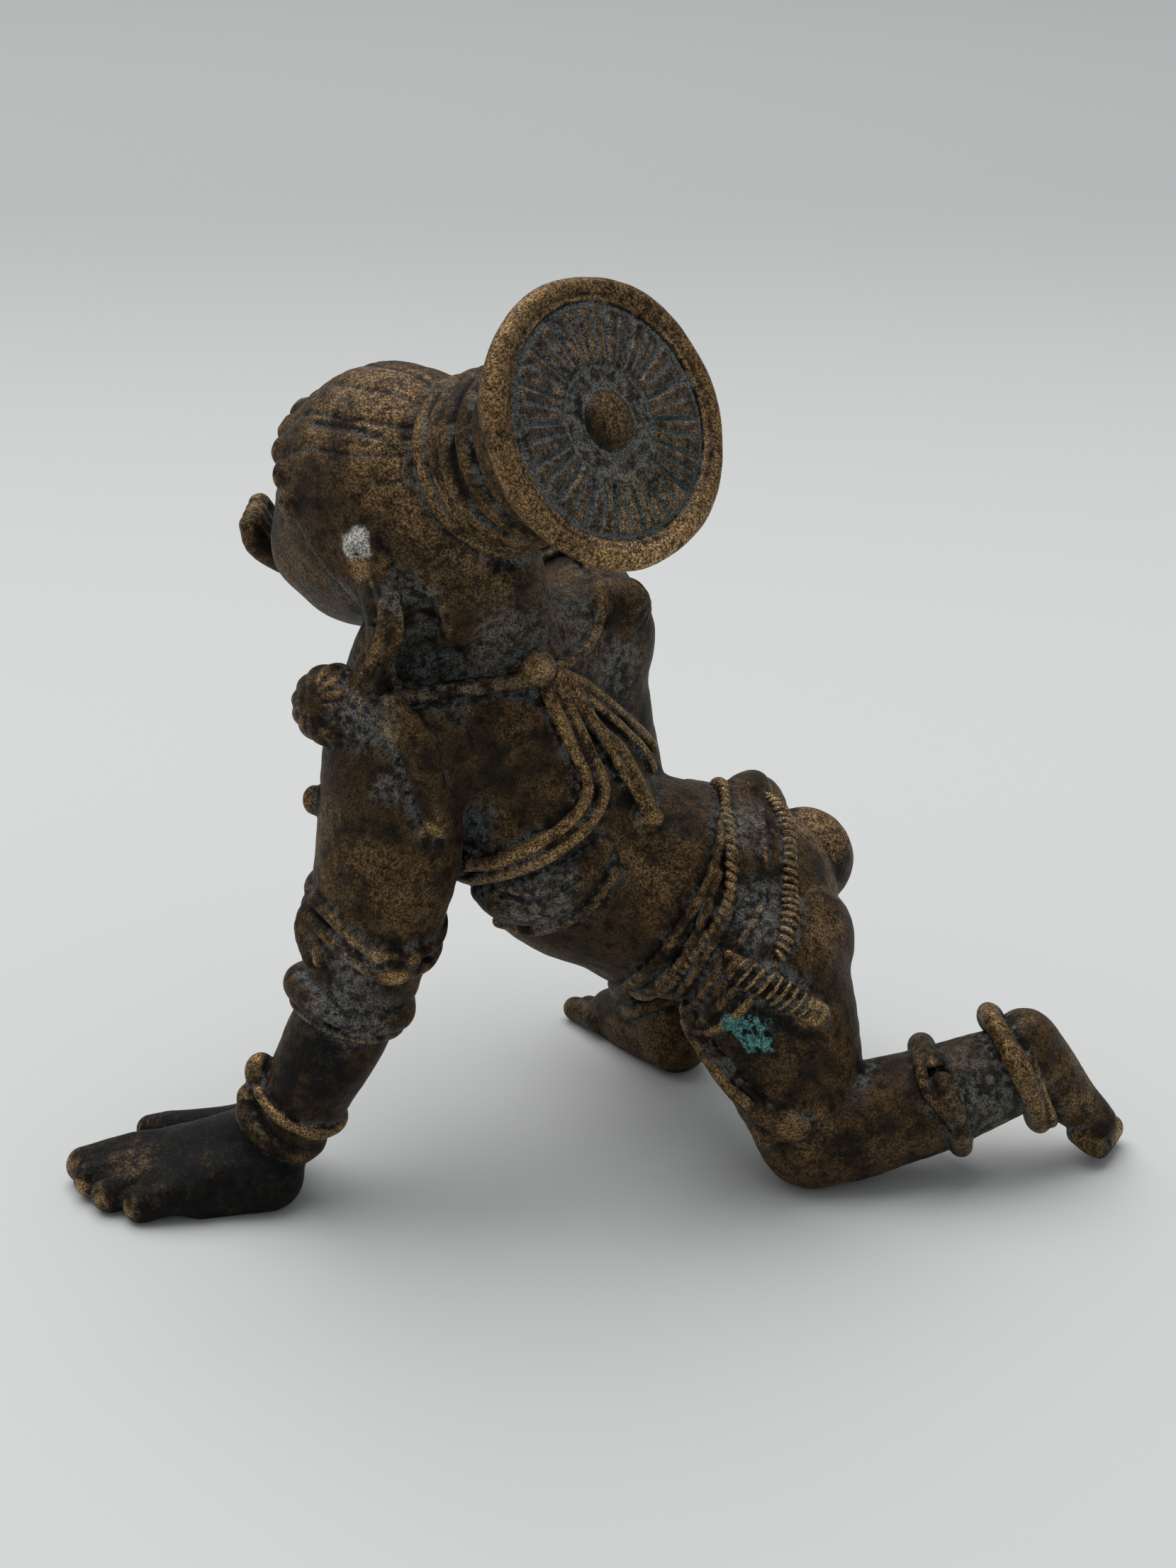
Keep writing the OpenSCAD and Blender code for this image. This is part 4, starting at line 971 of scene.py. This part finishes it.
def bronze(name, gold=0.0, dust=0.0, dark=0.0):
    """Old bronze: brown-black patina, gold where rubbed, painted shade in black in the hollows with
    blue-grey dust over it, and a painted highlight and painted shade carried by the rubbing channel.
    """
    mat = bpy.data.materials.new(name)
    mat.use_nodes = True
    N = Nodes(mat)
    bsdf = mat.node_tree.nodes["Principled BSDF"]
    ridge, crevice, shade, down = N.attribute("masks")
    white, green, bare, black = N.attribute("spots")
    settled, rub_and_light = N.attribute("dust")[:2]

    fine = N.noise(GRAIN, 2.0, 0.6)
    sand = N.noise(SAND, 3.0, 0.6)
    spot = N.noise(SPOT, 3.0, 0.6)
    cloud = N.noise(CLOUD, 3.0, 0.55, 0.4)
    big = N.noise(DRIFT, 2.0, 0.5, 0.3)

    # patina: brown, clouded with near-black, with a fine sandy speckle
    col = N.mix(N.ramp(cloud, 0.30, 0.62), SOOT, BROWN)
    col = N.mix(N.ramp(spot, 0.30, 0.48, 0.7, 0.0), col, SPECK)
    col = N.mix(N.ramp(sand, 0.34, 0.48, 0.7, 0.0), col, PIT)
    # golden brown grains where the skin is open, outside the painted shade, denser in patches, where rubbed
    # and where a highlight is painted, thinner where shade is painted
    open_skin = N.less(1.0, N.mul(shade, 1.3), clamp=True)
    patch = N.ramp(N.add(N.mul(big, 0.6), N.mul(cloud, 0.4)), 0.42 - 0.16 * gold, 0.62 - 0.16 * gold)
    patch = N.add(patch, rub_and_light, clamp=True)
    rub = N.mul(N.mul(patch, open_skin), N.ramp(sand, 0.42, 0.62, 0.12, 1.0))
    rub = N.mul(rub, N.ramp(spot, 0.32, 0.52, 0.35, 1.0))
    col = N.mix(N.mul(rub, 0.85 + 0.10 * gold), col,
                N.mix(rub_and_light, richer(OCHRE, OCHRE_GOLD, gold), richer(RUBBED_AND_LIT_SKIN, RUBBED_AND_LIT_GOLD, gold)))
    # hollows: painted shade in black over the dark patina of the recesses, then blue-grey dust over it
    hollow_shade = N.most(N.mul(shade, 0.9), crevice)
    col = N.mix(N.mul(hollow_shade, N.ramp(spot, 0.30, 0.62, 0.92, 0.5)), col, HOLLOW_SHADE)
    dusty = N.mul(N.add(N.mul(shade, 0.75), N.mul(crevice, 0.45 + 0.55 * dust)),
                  N.ramp(N.add(N.mul(cloud, 0.6), N.mul(spot, 0.4)), 0.46 - 0.16 * dust,
                         0.58 - 0.10 * dust))
    dusty = N.mul(dusty, N.less(1.0, N.mul(down, 0.75)), clamp=True)
    dusty = N.most(dusty, N.mul(settled, N.ramp(spot, 0.40, 0.60, 0.15, 0.85)))
    if dust > 0:
        film = N.mul(N.ramp(spot, 0.44, 0.62), 0.35 * dust)
        dusty = N.most(dusty, film)
    dusty = N.mul(dusty, N.ramp(sand, 0.34, 0.56, 0.25, 1.0), clamp=True)
    tint = N.mix(N.ramp(big, 0.50, 0.62, 0.0, 0.7), DUST_GREY, DUST_BLUE)
    col = N.mix(N.mul(dusty, 0.85), col, tint)
    # bare metal on ridges and at the spots that hands reach
    edge = N.mul(ridge, N.ramp(N.add(N.mul(cloud, 0.5), N.mul(spot, 0.5)),
                               0.42 - 0.10 * gold, 0.62 - 0.12 * gold))
    edge = N.mul(edge, 0.55 + 0.35 * gold)
    edge = N.mul(edge, N.ramp(sand, 0.34, 0.56, 0.15, 1.0))
    metal = N.most(edge, N.mul(bare, N.ramp(sand, 0.34, 0.54, 0.2, 1.0)), clamp=True)
    col = N.mix(N.mul(black, N.ramp(sand, 0.40, 0.66, 0.97, 0.75)), col, STAIN)
    if dark > 0:
        # the dark skin is thinner where rubbed and under the painted highlight, thicker where shade is
        # painted
        cover = N.less(N.ramp(spot, 0.42, 0.66, dark, dark * 0.8), N.mul(rub_and_light, 0.5), clamp=True)
        col = N.mix(cover, col, DARK_SKIN)
    col = N.mix(N.mul(metal, 0.85), col, N.mix(N.ramp(fine, 0.35, 0.65), METAL_LOW, METAL_HIGH))
    # spots of corrosion
    col = N.mix(N.mul(green, N.ramp(spot, 0.40, 0.52)), col,
                N.mix(N.ramp(sand, 0.36, 0.6), GREEN_LOW, GREEN_HIGH))
    col = N.mix(N.mul(white, N.ramp(spot, 0.28, 0.38)), col,
                N.mix(N.ramp(sand, 0.42, 0.60), WHITE_LOW, WHITE_HIGH))
    col = N.scale(col, N.mul(N.ramp(fine, 0.32, 0.66, 0.3, 1.7), N.ramp(spot, 0.34, 0.60, 0.78, 1.15)))
    N.put(bsdf.inputs["Base Color"], col)
    dull = N.most(N.most(dusty, white), green, clamp=True)
    N.put(bsdf.inputs["Metallic"], N.mul(N.less(1.0, dull, clamp=True),
                                         N.ramp(metal, 0.0, 0.7, 0.35, 0.85)))
    rough = N.add(N.ramp(sand, 0.35, 0.65, 0.62, 0.50), N.mul(dull, 0.3))
    N.put(bsdf.inputs["Roughness"], N.less(rough, N.mul(metal, 0.10), clamp=True))
    bsdf.inputs["Specular IOR Level"].default_value = 0.15
    # cast skin: sand grain and small pits
    height = N.add(N.mul(sand, 0.45), N.mul(fine, 0.20))
    height = N.add(height, N.mul(spot, 0.70))
    b = N.node("ShaderNodeBump")
    b.inputs["Strength"].default_value = 0.8
    b.inputs["Distance"].default_value = BUMP_HEIGHT
    N.put(b.inputs["Height"], height)
    N.put(bsdf.inputs["Normal"], b.outputs[0])
    return mat


MATERIALS = {
    "bronze_patina": bronze("bronze_patina"),
    "bronze_worn": bronze("bronze_worn", gold=1.0),
    "bronze_verdigris": bronze("bronze_verdigris", dust=1.0),
    "bronze_dark": bronze("bronze_dark", dark=0.95),
}

# ---------------------------------------------------------------- meshing

COARSE = {o.part for o in BODY}
LARGE = {"belt_band", "hair_bun", "hair_cap", "head"}
# unevenness of the cast skin: height, size of its lumps and shift of the noise, mm
UNEVEN = ((0.11, 4.3, 0.0), (0.055, 1.7, 5.3), (0.022, 0.7, 9.1))
ORNAMENT_UNEVEN = 0.6     # part of it that ornaments get
BORDER = 2.0              # grid kept round a piece, mm
DIVE = 0.9                # how steeply a piece goes under its neighbour
OWN_REACH = 1.5           # how far a piece may stand off its own masses, mm
BELOW = 0.6               # depth of grid kept under the floor, mm


def sculpt(name):
    """Vertices, quads and colour attributes of one piece."""
    mine = [o for o in OPS if o.part == name and o.kind != "cut"]
    h = BODY_STEP if name in COARSE else MIDDLE if name in LARGE else FINE
    pad = TONGUE + 0.6
    lo = np.min([o.lo for o in mine], 0) - pad
    hi = np.max([o.hi for o in mine], 0) + pad
    lo[2] = max(lo[2], -BELOW)
    D, own, oth, axes = window(lo - BORDER, hi + BORDER, h, name)
    lo = np.array([a[0] for a in axes], float)
    P = (own - oth) / 2
    F = np.maximum(D + DIVE * np.maximum(P, 0), P - TONGUE)
    F = np.maximum(F, own - OWN_REACH)
    F[0], F[-1], F[:, 0], F[:, -1], F[:, :, 0], F[:, :, -1] = 1, 1, 1, 1, 1, 1
    g = openvdb.FloatGrid()
    g.copyFromArray(F)
    pts, quads = g.convertToQuads(isovalue=0.0)
    pts = pts * h + lo
    nrm = np.stack([sample(D, lo, h, pts + e) - sample(D, lo, h, pts - e) for e in np.eye(3) * h], 1)
    nrm /= np.linalg.norm(nrm, axis=1)[:, None] + TINY
    look = attributes(pts, nrm, D, lo, h)
    soft = sum(high * value_noise(pts, size, shift) for high, size, shift in UNEVEN)
    amount = 1.0 if name in COARSE else ORNAMENT_UNEVEN
    pts = pts + nrm * (amount * soft)[:, None]
    pts[:, 2] = np.maximum(pts[:, 2], 0)
    return pts, quads, look


def make_piece(name, slot, pts, quads, look):
    """The Blender object that stands for one CAD node."""
    me = bpy.data.meshes.new(name)
    me.vertices.add(len(pts))
    me.vertices.foreach_set("co", ((pts + SHIFT) / 1000).astype(np.float32).ravel())
    me.loops.add(len(quads) * 4)
    me.loops.foreach_set("vertex_index", quads[:, ::-1].astype(np.int32).ravel())
    me.polygons.add(len(quads))
    me.polygons.foreach_set("loop_start", np.arange(0, len(quads) * 4, 4, dtype=np.int32))
    me.polygons.foreach_set("use_smooth", np.ones(len(quads), bool))
    me.update(calc_edges=True)
    me.validate()
    for key, data in look.items():
        a = me.color_attributes.new(key, "FLOAT_COLOR", "POINT")
        a.data.foreach_set("color", data.astype(np.float32).ravel())
    me.materials.append(MATERIALS[slot])
    ob = bpy.data.objects.new(name + "_cast", me)
    bpy.context.scene.collection.objects.link(ob)
    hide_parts(name)
    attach(ob, "root")


SLOT_OF = {s["node"]: s["material_slot"] for s in frame["record"]["subparts"]}
names = sorted(frame["nodes"])
with ThreadPoolExecutor(4) as pool:
    shapes = dict(zip(names, pool.map(sculpt, names)))
for node in names:
    make_piece(node, SLOT_OF[node], *shapes[node])

# ---------------------------------------------------------------- floor, light, camera

FLOOR_HALF = 3.0                              # metres, as everything below
# painted light falloff: the paper is coloured lighter near the viewer and darker away, as the softbox's
# light fades
PAPER_LIT_NEAR, PAPER_SHADED_FAR = (0.61, 0.618, 0.606), (0.415, 0.426, 0.42)
PAPER_LIGHT_FALLOFF = (0.05, 0.42)                     # painted light falloff: where the paper turns from lit to shaded
SOFTBOX_AT, SOFTBOX_SIZE, SOFTBOX_POWER = (-0.32, 0.36, 1.5), 1.8, 26.5
LIT = (0, 0.08, 0)                            # what the softbox is aimed at
SKY, SKY_STRENGTH = (0.93, 0.97, 1.0, 1), 0.40
CAMERA_ELEVATION, CAMERA_DISTANCE = math.radians(22), 0.170
AIM = V(0, 5, 26)                             # point in the middle of the view, sculptor's frame, mm
VIEW_HEIGHT, SENSOR = 0.104, 36               # height seen at that point in metres, sensor in mm


def place(name, data, loc, facing):
    """Adds an object that looks along facing."""
    o = bpy.data.objects.new(name, data)
    bpy.context.scene.collection.objects.link(o)
    o.location = loc
    o.rotation_mode = "QUATERNION"
    o.rotation_quaternion = facing.to_track_quat("-Z", "Y")
    return o


def paper():
    """Pale paper with painted light falloff: it darkens away from the viewer, where the softbox's light
    fades.
    """
    mat = bpy.data.materials.new("pale_paper")
    mat.use_nodes = True
    bsdf = mat.node_tree.nodes["Principled BSDF"]
    N = Nodes(mat)
    split = N.node("ShaderNodeSeparateXYZ")
    N.put(split.inputs[0], N.co)
    N.put(bsdf.inputs["Base Color"], N.mix(N.ramp(split.outputs[1], *PAPER_LIGHT_FALLOFF), PAPER_LIT_NEAR, PAPER_SHADED_FAR))
    bsdf.inputs["Roughness"].default_value = 0.75
    bsdf.inputs["Specular IOR Level"].default_value = 0.2
    return mat


w = FLOOR_HALF
me = bpy.data.meshes.new("floor")
me.from_pydata([(-w, -w, 0), (w, -w, 0), (w, w, 0), (-w, w, 0)], [], [(0, 1, 2, 3)])
floor = bpy.data.objects.new("floor", me)
bpy.context.scene.collection.objects.link(floor)
me.materials.append(paper())

softbox = bpy.data.lights.new("top_softbox", "AREA")
softbox.shape, softbox.size, softbox.energy = "SQUARE", SOFTBOX_SIZE, SOFTBOX_POWER
place("top_softbox", softbox, SOFTBOX_AT, Vector(LIT) - Vector(SOFTBOX_AT))
world = bpy.data.worlds.new("world")
bpy.context.scene.world = world
world.use_nodes = True
world.node_tree.nodes["Background"].inputs["Color"].default_value = SKY
world.node_tree.nodes["Background"].inputs["Strength"].default_value = SKY_STRENGTH

back = V(0, -math.cos(CAMERA_ELEVATION), math.sin(CAMERA_ELEVATION))
cam = bpy.data.cameras.new("camera")
cam.sensor_fit = "VERTICAL"
cam.sensor_height = SENSOR
cam.lens = SENSOR * CAMERA_DISTANCE / VIEW_HEIGHT
cam.clip_start = 0.01
bpy.context.scene.camera = place("camera", cam, Vector((AIM + SHIFT) / 1000 + CAMERA_DISTANCE * back),
                                 Vector(-back))
bpy.context.scene.view_settings.view_transform = "Standard"
